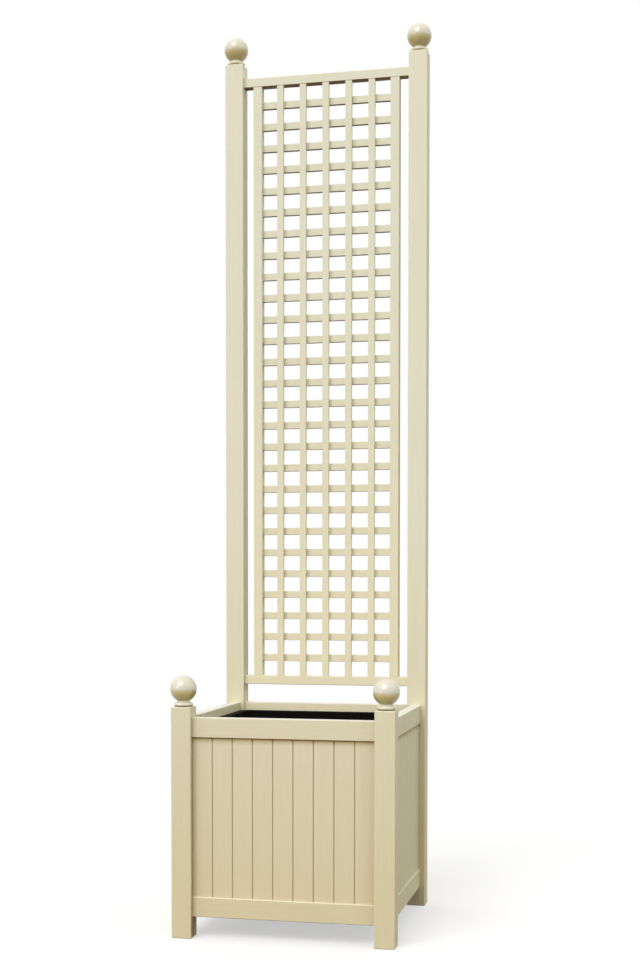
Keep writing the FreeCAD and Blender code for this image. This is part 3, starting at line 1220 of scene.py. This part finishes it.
BOARD_PAINT = BrushedPaint(
    "board_paint",
    Slot.BOARDS,
    Grain.ALONG_Z,
    CREAM,
    HIGH_LIT_CREAM,
    THIN,
    rubbed=CREAM,
    # painted shade on the slopes of the V joints
    groove=0.4,
    relief=0.16,
)
FINIAL_PAINT = TurnedGloss(
    "finial_paint",
    Slot.FINIAL,
    colour=(0.620, 0.592, 0.486, 1.0),
    shade=(0.572, 0.530, 0.410, 1.0),
    # painted shade on the lower half of each ball
    mellow=(0.500, 0.385, 0.125, 1.0),
)
LINER_PLASTIC = MouldedPlastic(
    "moulded_liner",
    Slot.LINER,
    colour=(0.0034, 0.0025, 0.0012, 1.0),
    dusty=(0.045, 0.039, 0.030, 1.0),
)
BEARER_TIMBER = BareTimber("bearer_timber", Slot.TIMBER, Grain.ALONG_X)
SLAT_TIMBER = BareTimber("slat_timber", Slot.TIMBER, Grain.ALONG_Y)


# ------------------------------------------------------------------------------ posts and finials
@dataclass
class Finials:
    """Turned ball finials: ball, hollow neck and rounded base ring.

    Attributes:
        ball_radius: of the ball.
        ball_centre: height of its middle above the post.
        neck_radius: where the neck runs into the ball.
        cove_radius: in the middle of the hollow neck.
        ring_top: radius and height where the neck meets the base ring.
        ring_waist: radius and height of the ring's widest place.
        ring_foot: radius of the ring where it stands on the post.
        facets: sides of the turned shape.
        bands: rings of faces in the whole ball.
        cove_steps: rings of faces down the neck.
        ring_steps: rings of faces round the base ring.
        sharpest: edges sharper than this stay sharp, in degrees.
    """

    ball_radius: float = 29.5 * MM
    ball_centre: float = 39.5 * MM
    neck_radius: float = 14.0 * MM
    cove_radius: float = 15.2 * MM
    ring_top: Pair = (18.6 * MM, 9.3 * MM)
    ring_waist: Pair = (21.3 * MM, 3.6 * MM)
    ring_foot: float = 17.0 * MM
    facets: int = 72
    bands: int = 40
    cove_steps: int = 5
    ring_steps: int = 10
    sharpest: float = 38.0

    def neck_height(self) -> float:
        """Height above the post at which the neck meets the ball."""
        return self.ball_centre - math.sqrt(self.ball_radius**2 - self.neck_radius**2)

    def outline(self) -> list[Pair]:
        """The steps down from the bottom of the ball to the post.

        Returns:
            The radius and height of each.
        """
        neck = (self.neck_radius, self.neck_height())
        cove = (self.cove_radius, (neck[1] + self.ring_top[1]) / 2)
        down_neck = arc_through(neck, cove, self.ring_top, self.cove_steps)
        return down_neck + arc_through(self.ring_top, self.ring_waist, (self.ring_foot, 0.0), self.ring_steps)

    def shape(self, name: str, at: Triple) -> Piece:
        """Turns one finial.

        Args:
            name: the piece's name.
            at: the middle of the post's top.

        Returns:
            The finial.
        """
        clear_selection()
        middle = (at[0], at[1], at[2] + self.ball_centre)
        bpy.ops.mesh.primitive_uv_sphere_add(
            segments=self.facets, ring_count=self.bands, radius=self.ball_radius, location=middle
        )
        piece = bpy.context.active_object
        piece.name = name
        piece.data.name = name
        set_in_place(piece)
        cut = (at[0], at[1], at[2] + self.neck_height())
        with editing(piece):
            bpy.ops.mesh.select_all(action="SELECT")
            bpy.ops.mesh.bisect(plane_co=cut, plane_no=(0, 0, 1), clear_inner=True)
            radius, height = self.neck_radius, self.neck_height()
            select_edges(piece, lambda edge: edge.is_boundary)
            for next_radius, next_height in self.outline():
                drop = (0, 0, next_height - height)
                bpy.ops.mesh.extrude_region_move(TRANSFORM_OT_translate={"value": drop})
                share = next_radius / radius
                level = (at[0], at[1], at[2] + next_height)
                bpy.ops.transform.resize(value=(share, share, 1), center_override=level)
                radius, height = next_radius, next_height
            bpy.ops.mesh.fill()
            bpy.ops.mesh.select_all(action="SELECT")
            bpy.ops.mesh.normals_make_consistent(inside=False)
        pick(piece)
        bpy.ops.object.shade_smooth_by_angle(angle=math.radians(self.sharpest))
        return piece

    def build(self, tops: dict[str, Triple]) -> list[Piece]:
        """Turns one finial and copies it to every post.

        Args:
            tops: the middle of each post's top, by the post's place.

        Returns:
            The finials.
        """
        first, *others = tops
        model = self.shape(f"turned_ball_{first}", tops[first])
        made = [model]
        for place in others:
            move = tuple(b - a for a, b in zip(tops[first], tops[place]))
            made.append(copied(model, f"turned_ball_{place}", move))
        for place, piece in zip(tops, made):
            hand_over(piece, FINIAL_PAINT, Body.PLANTER, f"finial_{place}")
        return made


@dataclass
class Posts:
    """The four corner posts, the back two carrying the trellis.

    Attributes:
        centre: from the middle of the plan to the middle of each post.
        section: width of each post.
        front_height: of the front posts.
        back_height: of the back posts.
        arris: rounding of the long edges.
        top_chamfer: at the top.
        foot_chamfer: at the foot.
        softening: of the top chamfer's own edges.
        finials: what stands on the posts.
    """

    centre: float = 227.5 * MM
    section: float = 45.0 * MM
    front_height: float = 512.5 * MM
    back_height: float = 2058.5 * MM
    arris: float = 1.5 * MM
    top_chamfer: float = 1.2 * MM
    foot_chamfer: float = 1.0 * MM
    softening: float = 0.3 * MM
    finials: Finials = field(default_factory=Finials)

    def places(self) -> dict[str, Triple]:
        """Where the posts end.

        Returns:
            The middle of each post's top, by its place.
        """
        c = self.centre
        return {
            "front_left": (-c, -c, self.front_height),
            "front_right": (c, -c, self.front_height),
            "back_left": (-c, c, self.back_height),
            "back_right": (c, c, self.back_height),
        }

    def shape(self, name: str, top: Triple) -> Piece:
        """Shapes one post.

        Args:
            name: the piece's name.
            top: the middle of its top.

        Returns:
            The post.
        """
        half = self.section / 2
        height = top[2]
        post = new_block(name, (top[0] - half, top[0] + half), (top[1] - half, top[1] + half), (0.0, height))

        def level_at(place: float) -> EdgeTest:
            """A test for the edges that lie at one height."""
            return lambda edge: all(abs(vertex.co.z - place) < SLIGHT for vertex in edge.verts)

        def is_level(edge: bmesh.types.BMEdge) -> bool:
            """Whether an edge lies level."""
            return abs(edge.verts[0].co.z - edge.verts[1].co.z) < SLIGHT

        def on_top(edge: bmesh.types.BMEdge) -> bool:
            """Whether an edge is one of the top chamfer's."""
            return is_level(edge) and edge.verts[0].co.z > height / 2 and is_corner(edge)

        ease(post, level_at(height), self.top_chamfer)
        ease(post, level_at(0.0), self.foot_chamfer)
        ease(post, lambda edge: not is_level(edge), self.arris, ROUND_STEPS)
        ease(post, on_top, self.softening, THIN_STEPS)
        smooth(post)
        return post

    def build(self) -> list[Piece]:
        """Shapes the posts and sets the finials on them.

        Returns:
            The posts and the finials.
        """
        made = []
        for place, top in self.places().items():
            piece = self.shape(f"corner_post_{place}", top)
            row = place.split("_")[0]
            made.append(hand_over(piece, post_paint(row), Body.PLANTER, f"post_{place}"))
        return made + self.finials.build(self.places())


# ------------------------------------------------------------------------------ planter sides
@dataclass
class Boards:
    """Vertical tongue-and-groove boards of one side, V-jointed on their outer faces.

    Attributes:
        count: boards on a side.
        half_width: from the middle of the side to the posts.
        outer: place of their outer faces, from the middle of the plan.
        thickness: of each board.
        z: their visible bottom and top.
        v_joint: half of the V joint.
        hairline: the open joint at the bottom of each V, to either side of it.
        tongue: thickness and length of the tongue.
        softening: of the V joint's edges.
        steepest: edges of the V turn by less than this, in degrees.
    """

    count: int = 9
    half_width: float = 205.0 * MM
    outer: float = 234.5 * MM
    thickness: float = 9.0 * MM
    z: Pair = (91.0 * MM, 445.3 * MM)
    v_joint: float = 1.3 * MM
    hairline: float = 0.15 * MM
    tongue: Pair = (3.0 * MM, 4.0 * MM)
    softening: float = 0.25 * MM
    steepest: float = 80.0

    def width(self) -> float:
        """The pitch of the boards."""
        return 2 * self.half_width / self.count

    def shape(self, name: str, index: int) -> Piece:
        """Shapes one board of the front side.

        Args:
            name: the piece's name.
            index: its place, counted from the left.

        Returns:
            The board.
        """
        first, last = index == 0, index == self.count - 1
        left = -self.half_width + index * self.width() + (0 if first else self.hairline)
        right = -self.half_width + (index + 1) * self.width() - (0 if last else self.hairline)
        back = self.thickness - self.outer
        board = new_block(name, (left, right), (-self.outer, back), self.z)
        middle = -self.outer + self.thickness / 2
        half, length = self.tongue[0] / 2, self.tongue[1]
        joints = ([] if first else [left]) + ([] if last else [right])

        def jointed(edge: bmesh.types.BMEdge) -> bool:
            """Whether an edge is one of the two that get the V."""
            in_front = along(edge, Axis.Z) and abs(edge.verts[0].co.y + self.outer) < SLIGHT
            return in_front and any(abs(edge.verts[0].co.x - joint) < SLIGHT for joint in joints)

        def of_joint(edge: bmesh.types.BMEdge) -> bool:
            """Whether an edge is one of the V's own."""
            in_front = along(edge, Axis.Z) and edge.verts[0].co.y < 2 * self.v_joint - self.outer
            return in_front and is_corner(edge) and not is_corner(edge, self.steepest)

        def tongued(face: bmesh.types.BMFace, side: int) -> bool:
            """Whether a face is the strip of the board's edge that holds the tongue or the groove."""
            return face.normal.x * side > SQUARE_ON and abs(face.calc_center_median().y - middle) < half

        ease(board, jointed, self.v_joint)
        ease(board, of_joint, self.softening, THIN_STEPS)
        with editing(board, "FACE"):
            for place in (middle - half, middle + half):
                bpy.ops.mesh.select_all(action="SELECT")
                bpy.ops.mesh.bisect(plane_co=(0, place, 0), plane_no=(0, 1, 0))
            for side, there, move in ((1, not last, length), (-1, not first, length + 2 * self.hairline)):
                if there:
                    select_faces(board, lambda face: tongued(face, side))
                    bpy.ops.mesh.extrude_region_move(TRANSFORM_OT_translate={"value": (move, 0, 0)})
        smooth(board)
        return board

    def build(self) -> list[Piece]:
        """Shapes the first, a middle and the last board, then copies them along and round the planter.

        Returns:
            The boards of all four sides.
        """
        made = []
        kinds = {0: self.shape("board_front_1", 0), 1: self.shape("board_front_2", 1)}
        last = self.count - 1
        kinds[last] = self.shape(f"board_front_{self.count}", last)
        row = []
        for index in range(self.count):
            if index in kinds:
                row.append(kinds[index])
            else:
                row.append(copied(kinds[1], f"board_front_{index + 1}", ((index - 1) * self.width(), 0.0, 0.0)))
        for side in Side:
            for number, front in enumerate(row, start=1):
                name = f"board_{side.word}_{number}"
                piece = front if side is Side.FRONT else copied(front, name, turn=side.value)
                made.append(piece)
        for piece in made:
            side_word = piece.name.split("_")[1]
            hand_over(piece, BOARD_PAINT, Body.PLANTER, f"boards_{side_word}")
        return made


@dataclass
class PlanterRails:
    """Top and bottom rails between the posts, set back from the posts' faces.

    Attributes:
        half_length: from the middle of a side to the posts.
        outer: place of their outer faces, from the middle of the plan.
        thickness: of each rail.
        top_z: bottom and top of the top rails.
        bottom_z: bottom and top of the bottom rails.
        arris: rounding of their long edges.
    """

    half_length: float = 205.0 * MM
    outer: float = 238.0 * MM
    thickness: float = 24.0 * MM
    top_z: Pair = (445.3 * MM, 489.3 * MM)
    bottom_z: Pair = (47.0 * MM, 91.0 * MM)
    arris: float = 1.5 * MM

    def build(self) -> list[Piece]:
        """Planes the two front rails and copies them round the planter.

        Returns:
            The eight rails.
        """
        made = []
        length = (-self.half_length, self.half_length)
        depth = (-self.outer, self.thickness - self.outer)
        for level, z in (("top", self.top_z), ("bottom", self.bottom_z)):
            front = planed_bar(f"side_rail_{level}_front", length, depth, z, Axis.X, self.arris)
            for side in Side:
                name = f"rail_{level}_{side.word}"
                piece = front if side is Side.FRONT else copied(front, f"side_{name}", turn=side.value)
                made.append(hand_over(piece, rail_paint(side.across), Body.PLANTER, name))
        return made


# ------------------------------------------------------------------------------ trellis
@dataclass
class Trellis:
    """The lattice between the back posts: rails, stiles, upright laths and cross laths behind them.

    Attributes:
        half_width: from the middle to the posts.
        front: place of the frame's front face.
        depth: of rails and stiles.
        top_z: bottom and top of the top rail.
        bottom_z: bottom and top of the bottom rail.
        arris: rounding of rails and stiles.
        stile_centre: from the middle to the middle of each stile.
        stile_width: of each stile.
        uprights: how many upright laths.
        upright_width: of each.
        crosses: how many cross laths.
        cross_height: of each.
        cross_pitch: from one to the next.
        lath_thickness: of uprights and crosses.
        lath_arris: rounding of the laths.
    """

    half_width: float = 205.0 * MM
    front: float = 215.5 * MM
    depth: float = 24.0 * MM
    top_z: Pair = (2002.0 * MM, 2024.0 * MM)
    bottom_z: Pair = (534.5 * MM, 556.5 * MM)
    arris: float = 1.5 * MM
    stile_centre: float = 170.5 * MM
    stile_width: float = 22.0 * MM
    uprights: int = 5
    upright_width: float = 16.0 * MM
    crosses: int = 27
    cross_height: float = 17.5 * MM
    cross_pitch: float = 52.2 * MM
    lath_thickness: float = 10.0 * MM
    lath_arris: float = 0.8 * MM

    def rails(self) -> list[Piece]:
        """The top and the bottom rail.

        Returns:
            Both rails.
        """
        made = []
        width = (-self.half_width, self.half_width)
        depth = (self.front, self.front + self.depth)
        for level, z in (("top", self.top_z), ("bottom", self.bottom_z)):
            piece = planed_bar(f"lattice_rail_{level}", width, depth, z, Axis.X, self.arris)
            made.append(hand_over(piece, trellis_paint(Grain.ALONG_X), Body.PLANTER, f"trellis_rail_{level}"))
        return made

    def stiles(self) -> list[Piece]:
        """The two stiles between the rails.

        Returns:
            The left and the right stile.
        """
        half = self.stile_width / 2
        x = (-self.stile_centre - half, -self.stile_centre + half)
        z = (self.bottom_z[1], self.top_z[0])
        depth = (self.front, self.front + self.depth)
        left = planed_bar("lattice_stile_left", x, depth, z, Axis.Z, self.arris)
        right = copied(left, "lattice_stile_right", (2 * self.stile_centre, 0.0, 0.0))
        for word, piece in (("left", left), ("right", right)):
            hand_over(piece, trellis_paint(Grain.ALONG_Z), Body.PLANTER, f"trellis_stile_{word}")
        return [left, right]

    def upright_laths(self) -> list[Piece]:
        """The upright laths, flush with the front of the frame.

        Returns:
            The laths, from the left.
        """
        pitch = 2 * self.stile_centre / (self.uprights + 1)
        centre = pitch - self.stile_centre
        half = self.upright_width / 2
        z = (self.bottom_z[1], self.top_z[0])
        depth = (self.front, self.front + self.lath_thickness)
        x = (centre - half, centre + half)
        model = planed_bar("upright_lath_1", x, depth, z, Axis.Z, self.lath_arris, thin=True)
        made = [model]
        for number in range(2, self.uprights + 1):
            made.append(copied(model, f"upright_lath_{number}", ((number - 1) * pitch, 0.0, 0.0)))
        for number, piece in enumerate(made, start=1):
            hand_over(piece, trellis_paint(Grain.ALONG_Z), Body.PLANTER, f"lath_upright_{number}")
        return made

    def cross_laths(self) -> list[Piece]:
        """The cross laths, behind the uprights and between the stiles.

        Returns:
            The laths, from the lowest.
        """
        inner = self.stile_centre - self.stile_width / 2
        half = self.cross_height / 2
        lowest = (self.top_z[1] + self.bottom_z[0]) / 2 - self.cross_pitch * (self.crosses - 1) / 2
        depth = (self.front + self.lath_thickness, self.front + 2 * self.lath_thickness)
        z = (lowest - half, lowest + half)
        model = planed_bar("cross_lath_01", (-inner, inner), depth, z, Axis.X, self.lath_arris, thin=True)
        made = [model]
        for number in range(2, self.crosses + 1):
            up = (0.0, 0.0, (number - 1) * self.cross_pitch)
            made.append(copied(model, f"cross_lath_{number:02d}", up))
        for number, piece in enumerate(made, start=1):
            hand_over(piece, trellis_paint(Grain.ALONG_X), Body.PLANTER, f"lath_cross_{number:02d}")
        return made

    def build(self) -> list[Piece]:
        """Makes the whole lattice."""
        return self.rails() + self.stiles() + self.upright_laths() + self.cross_laths()


# ------------------------------------------------------------------------------ liner and base
@dataclass
class Liner:
    """The lift-out liner: a tapered box with a flat rim, notched at the posts.

    Attributes:
        top_half: half width over the walls under the rim.
        bottom_half: half width at the floor.
        wall: thickness of walls, floor and rim.
        corner: radius of the upright corners.
        floor: height of its underside.
        rim_z: height of the rim's top.
        rim_half: half width over the rim.
        notch_half: half width of the rim where it passes the posts.
        drain_radius: of the drain holes.
        drains: sideways and lengthways place of the drain holes.
        lip: rounding of every edge sharper than the lip's least angle.
        lip_angle: that angle, in degrees.
        corner_steps: faces in each upright corner.
        drain_sides: sides of each drain hole.
        overshoot: how far the hollow is drawn past the rim, so that it cuts cleanly.
    """

    top_half: float = 196.0 * MM
    bottom_half: float = 184.0 * MM
    wall: float = 3.0 * MM
    corner: float = 28.0 * MM
    floor: float = 81.3 * MM
    rim_z: float = 470.0 * MM
    rim_half: float = 212.5 * MM
    notch_half: float = 200.0 * MM
    drain_radius: float = 7.0 * MM
    drains: Pair = (42.0 * MM, 90.0 * MM)
    lip: float = 0.9 * MM
    lip_angle: float = 50.0
    corner_steps: int = 8
    drain_sides: int = 32
    overshoot: float = 30.0 * MM

    def tub(self, name: str, inset: float, floor: float, top: float) -> Piece:
        """A tapered block with rounded corners: the outside of the liner, or its hollow.

        Args:
            name: the block's name.
            inset: how far it is drawn in.
            floor: its bottom.
            top: its top.

        Returns:
            The block.
        """
        half = self.top_half - inset
        block = new_block(name, (-half, half), (-half, half), (floor, top))
        ease(block, lambda edge: along(edge, Axis.Z), self.corner - inset, self.corner_steps)
        share = (self.bottom_half - inset) / half
        with editing(block, "FACE"):
            select_faces(block, lambda face: face.normal.z < -SQUARE_ON)
            bpy.ops.transform.resize(value=(share, share, 1), center_override=(0, 0, floor))
        return block

    def drill_bits(self) -> list[Piece]:
        """The shapes that cut the drain holes.

        Returns:
            One upright cylinder for each hole.
        """
        bits = []
        for x in (-self.drains[0], self.drains[0]):
            for y in (-self.drains[1], self.drains[1]):
                clear_selection()
                bpy.ops.mesh.primitive_cylinder_add(
                    vertices=self.drain_sides,
                    radius=self.drain_radius,
                    depth=4 * self.wall,
                    location=(x, y, self.floor),
                )
                bits.append(bpy.context.active_object)
        return bits

    def build(self) -> list[Piece]:
        """Moulds the liner: a tub and its rim, hollowed out, drilled and softened.

        Returns:
            The liner alone.
        """
        under_rim = self.rim_z - self.wall
        tub = self.tub("lift_out_liner", 0.0, self.floor, self.rim_z)
        wide, narrow = (-self.rim_half, self.rim_half), (-self.notch_half, self.notch_half)
        rim = [
            new_block("rim_across", wide, narrow, (under_rim, self.rim_z)),
            new_block("rim_along", narrow, wide, (under_rim, self.rim_z)),
        ]
        cut_away(tub, rim, "UNION")
        taper = (self.top_half - self.bottom_half) / (self.rim_z - self.floor)
        hollow = self.tub("hollow", self.wall, self.floor + self.wall, self.rim_z)
        with editing(hollow, "FACE"):
            select_faces(hollow, lambda face: face.normal.z > SQUARE_ON)
            share = 1 + taper * self.overshoot / (self.top_half - self.wall)
            above = (0, 0, self.rim_z + self.overshoot)
            bpy.ops.transform.translate(value=(0, 0, self.overshoot))
            bpy.ops.transform.resize(value=(share, share, 1), center_override=above)
        cut_away(tub, [hollow] + self.drill_bits())
        soften = tub.modifiers.new("lip", "BEVEL")
        soften.width = self.lip
        soften.segments = ROUND_STEPS
        soften.limit_method = "ANGLE"
        soften.angle_limit = math.radians(self.lip_angle)
        pick(tub)
        bpy.ops.object.modifier_apply(modifier=soften.name)
        smooth(tub)
        return [hand_over(tub, LINER_PLASTIC, Body.LINER, "liner")]


@dataclass
class Base:
    """The slats under the liner and the two bearers that carry them.

    Attributes:
        bearer: width and height of a bearer.
        bearer_z: its underside.
        bearer_place: place of its outer face against the rail.
        bearer_half: half its length.
        slats: how many slats.
        slat_width: of each.
        slat_pitch: from one to the next.
        slat_thickness: of each.
        slat_half: half the length of each.
        arris: rounding of the edges.
    """

    bearer: float = 20.0 * MM
    bearer_z: float = 49.0 * MM
    bearer_place: float = 214.0 * MM
    bearer_half: float = 204.0 * MM
    slats: int = 5
    slat_width: float = 64.0 * MM
    slat_pitch: float = 84.0 * MM
    slat_thickness: float = 12.0 * MM
    slat_half: float = 213.0 * MM
    arris: float = 0.8 * MM

    def build(self) -> list[Piece]:
        """Saws the bearers and the slats.

        Returns:
            The two bearers and the slats.
        """
        top = self.bearer_z + self.bearer
        x = (-self.bearer_half, self.bearer_half)
        y = (-self.bearer_place, self.bearer - self.bearer_place)
        front = planed_bar("bearer_front", x, y, (self.bearer_z, top), Axis.X, self.arris, thin=True)
        back = copied(front, "bearer_back", turn=Side.BACK.value)
        first = -self.slat_pitch * (self.slats - 1) / 2
        half = self.slat_width / 2
        x, y = (first - half, first + half), (-self.slat_half, self.slat_half)
        z = (top, top + self.slat_thickness)
        slat = planed_bar("base_slat_1", x, y, z, Axis.Y, self.arris, thin=True)
        slats = [slat]
        for number in range(2, self.slats + 1):
            slats.append(copied(slat, f"base_slat_{number}", ((number - 1) * self.slat_pitch, 0.0, 0.0)))
        for piece in (front, back):
            hand_over(piece, BEARER_TIMBER, Body.PLANTER, f"base_{piece.name}")
        for piece in slats:
            hand_over(piece, SLAT_TIMBER, Body.PLANTER, "base_slats")
        return [front, back] + slats


# ------------------------------------------------------------------------------ studio
WHITE = (1.0, 1.0, 1.0, 1.0)
LAMP_DISTANCE = 5.0  # where the lamps are drawn; their light doesn't depend on it


@dataclass(frozen=True)
class Lamp:
    """A broad soft lamp far away, so that it lights the top and the foot alike.

    Attributes:
        name: its name.
        azimuth: the side that it stands on, in degrees from the front towards the right.
        elevation: how high it stands, in degrees.
        breadth: how broad it looks from the object, in degrees.
        level: how bright it makes a white face turned to it, where 1 is white.
        colour: of its light.
    """

    name: str
    azimuth: float
    elevation: float
    breadth: float
    level: float
    colour: Triple = (1.0, 1.0, 1.0)

    def build(self) -> None:
        """Hangs the lamp."""
        data = bpy.data.lights.new(self.name, "SUN")
        data.angle = math.radians(self.breadth)
        data.energy = self.level * math.pi  # a sun of strength pi makes a white face turned to it white
        data.color = self.colour
        side, height = math.radians(self.azimuth), math.radians(self.elevation)
        level = math.cos(height)
        towards = Vector((math.sin(side) * level, -math.cos(side) * level, math.sin(height)))
        lamp = bpy.data.objects.new(self.name, data)
        bpy.context.scene.collection.objects.link(lamp)
        lamp.location = LAMP_DISTANCE * towards
        lamp.rotation_euler = towards.to_track_quat("Z", "Y").to_euler()


@dataclass
class Studio:
    """A pale floor, a white room and soft lamps.

    Attributes:
        floor_half: half width of the floor.
        floor_drop: how far it lies below the feet, so that they don't share a plane with it.
        floor_colour: as the camera sees it, before the shadow.
        floor_bounce: what it throws back at the object.
        shadow_share: how much of the floor's look comes from the light on it.
        shadow_reach: how far from the object its shadow is kept.
        walls: strength of the room's light from the sides.
        ceiling: strength of its light from above.
        room_colour: of that light.
        lamps: the lamps.
    """

    floor_half: float = 60.0
    floor_drop: float = 0.2 * MM
    floor_colour: Colour = (0.90, 0.90, 0.90, 1.0)
    floor_bounce: Colour = (0.06, 0.050, 0.035, 1.0)
    shadow_share: float = 0.5
    shadow_reach: Pair = (0.8, 2.6)
    walls: float = 1.42
    ceiling: float = 0.62
    room_colour: Colour = (1.0, 0.985, 0.96, 1.0)
    lamps: tuple[Lamp, ...] = (
        Lamp("key_lamp", -18.0, 45.0, 36.0, 0.55, (1.0, 0.99, 0.97)),
        Lamp("glint_lamp", -42.0, 8.0, 10.0, 0.11),
        Lamp("fill_lamp", 80.0, 15.0, 60.0, 0.11, (0.78, 1.0, 0.80)),
    )

    def seen(self, shade: Shade) -> Socket:
        """Tells the rays that show the room from those that carry its light to the object.

        Args:
            shade: the tree of the room's or the floor's shader.

        Returns:
            1 for rays that show it, 0 for the others.
        """
        path = shade.add("ShaderNodeLightPath").outputs
        mirrored = shade.maths("MAXIMUM", path["Is Glossy Ray"], path["Is Transmission Ray"])
        return shade.maths("MAXIMUM", path["Is Camera Ray"], mirrored)

    def mixed(self, shade: Shade, share: Socket, first: Node, second: Node) -> Node:
        """Mixes two shaders by the share of the second."""
        return shade.add("ShaderNodeMixShader", {0: share, 1: first.outputs[0], 2: second.outputs[0]})

    def room(self) -> None:
        """The white room."""
        world = bpy.data.worlds.new("white_room")
        world.use_nodes = True
        bpy.context.scene.world = world
        shade = Shade(world.node_tree)
        rise = shade.axes(shade.add("ShaderNodeTexCoord").outputs["Generated"])["Z"]
        strength = shade.spread(rise, 0.0, 1.0, self.walls, self.ceiling)
        light = shade.add("ShaderNodeBackground", {"Color": self.room_colour, "Strength": strength})
        white = shade.add("ShaderNodeBackground", {"Color": WHITE, "Strength": 1.0})
        mixed = self.mixed(shade, self.seen(shade), light, white)
        shade.add("ShaderNodeOutputWorld", {"Surface": mixed.outputs[0]})

    def floor(self) -> None:
        """The floor, white with the object's soft shadow on it."""
        clear_selection()
        bpy.ops.mesh.primitive_plane_add(size=2 * self.floor_half, location=(0, 0, -self.floor_drop))
        plane = bpy.context.active_object
        plane.name = "floor"
        set_in_place(plane)
        material = bpy.data.materials.new("floor")
        material.use_nodes = True
        shade = Shade(material.node_tree)
        away = shade.reach(shade.add("ShaderNodeTexCoord").outputs["Object"])
        share = shade.spread(away, *self.shadow_reach, self.shadow_share, 0.0)
        white = shade.add("ShaderNodeEmission", {"Color": WHITE, "Strength": 1.0})
        lit = shade.add("ShaderNodeBsdfDiffuse", {"Color": self.floor_colour})
        shown = self.mixed(shade, share, white, lit)
        bounce = shade.add("ShaderNodeBsdfDiffuse", {"Color": self.floor_bounce})
        mixed = self.mixed(shade, self.seen(shade), bounce, shown)
        shade.add("ShaderNodeOutputMaterial", {"Surface": mixed.outputs[0]})
        plane.data.materials.append(material)
        plane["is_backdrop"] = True

    def build(self) -> None:
        """Sets up floor, room and lamps."""
        self.floor()
        self.room()
        for lamp in self.lamps:
            lamp.build()
        LOG.info("studio ready")


@dataclass
class PhotoCamera:
    """The camera at the photograph's viewing angle.

    Attributes:
        location: where it stands.
        pitch: how far it looks below the level, in radians.
        yaw: how far it looks to the left of straight on.
        lens: focal length in millimetres.
        shift: sideways and upward shift, as shares of the frame's long side.
        sensor: width of the sensor in millimetres.
    """

    location: Triple = (0.7654, -3.4281, 0.7840)
    pitch: float = 0.03763
    yaw: float = 0.2238
    lens: float = 55.97
    shift: Pair = (0.0206, 0.1585)
    sensor: float = 36.0

    def build(self) -> None:
        """Sets up the camera."""
        data = bpy.data.cameras.new("photo_camera")
        data.sensor_width = self.sensor
        data.sensor_fit = "AUTO"
        data.lens = self.lens
        data.shift_x, data.shift_y = self.shift
        camera = bpy.data.objects.new("photo_camera", data)
        bpy.context.scene.collection.objects.link(camera)
        camera.location = self.location
        camera.rotation_euler = (math.pi / 2 - self.pitch, 0.0, self.yaw)
        bpy.context.scene.camera = camera
        LOG.info("camera ready")


def write_sizes() -> None:
    """Writes the CAD model's box and the finished object's box as plain lists."""
    boxes = {"cad": CAD_BOX, "visual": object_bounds()}
    plain = {name: [list(corner) for corner in box] for name, box in boxes.items()}
    LOG.info("sizes: %s", plain)


def main() -> None:
    """Builds the planter piece by piece, then the studio and the camera."""
    logging.basicConfig(level=logging.INFO, format="%(name)s: %(message)s")
    bpy.context.scene.view_settings.view_transform = "Standard"
    for assembly in (Posts(), PlanterRails(), Boards(), Trellis(), Liner(), Base()):
        made = assembly.build()
        LOG.info("%s: %d pieces", type(assembly).__name__, len(made))
    Studio().build()
    PhotoCamera().build()
    write_sizes()


if __name__ == "__main__":
    main()
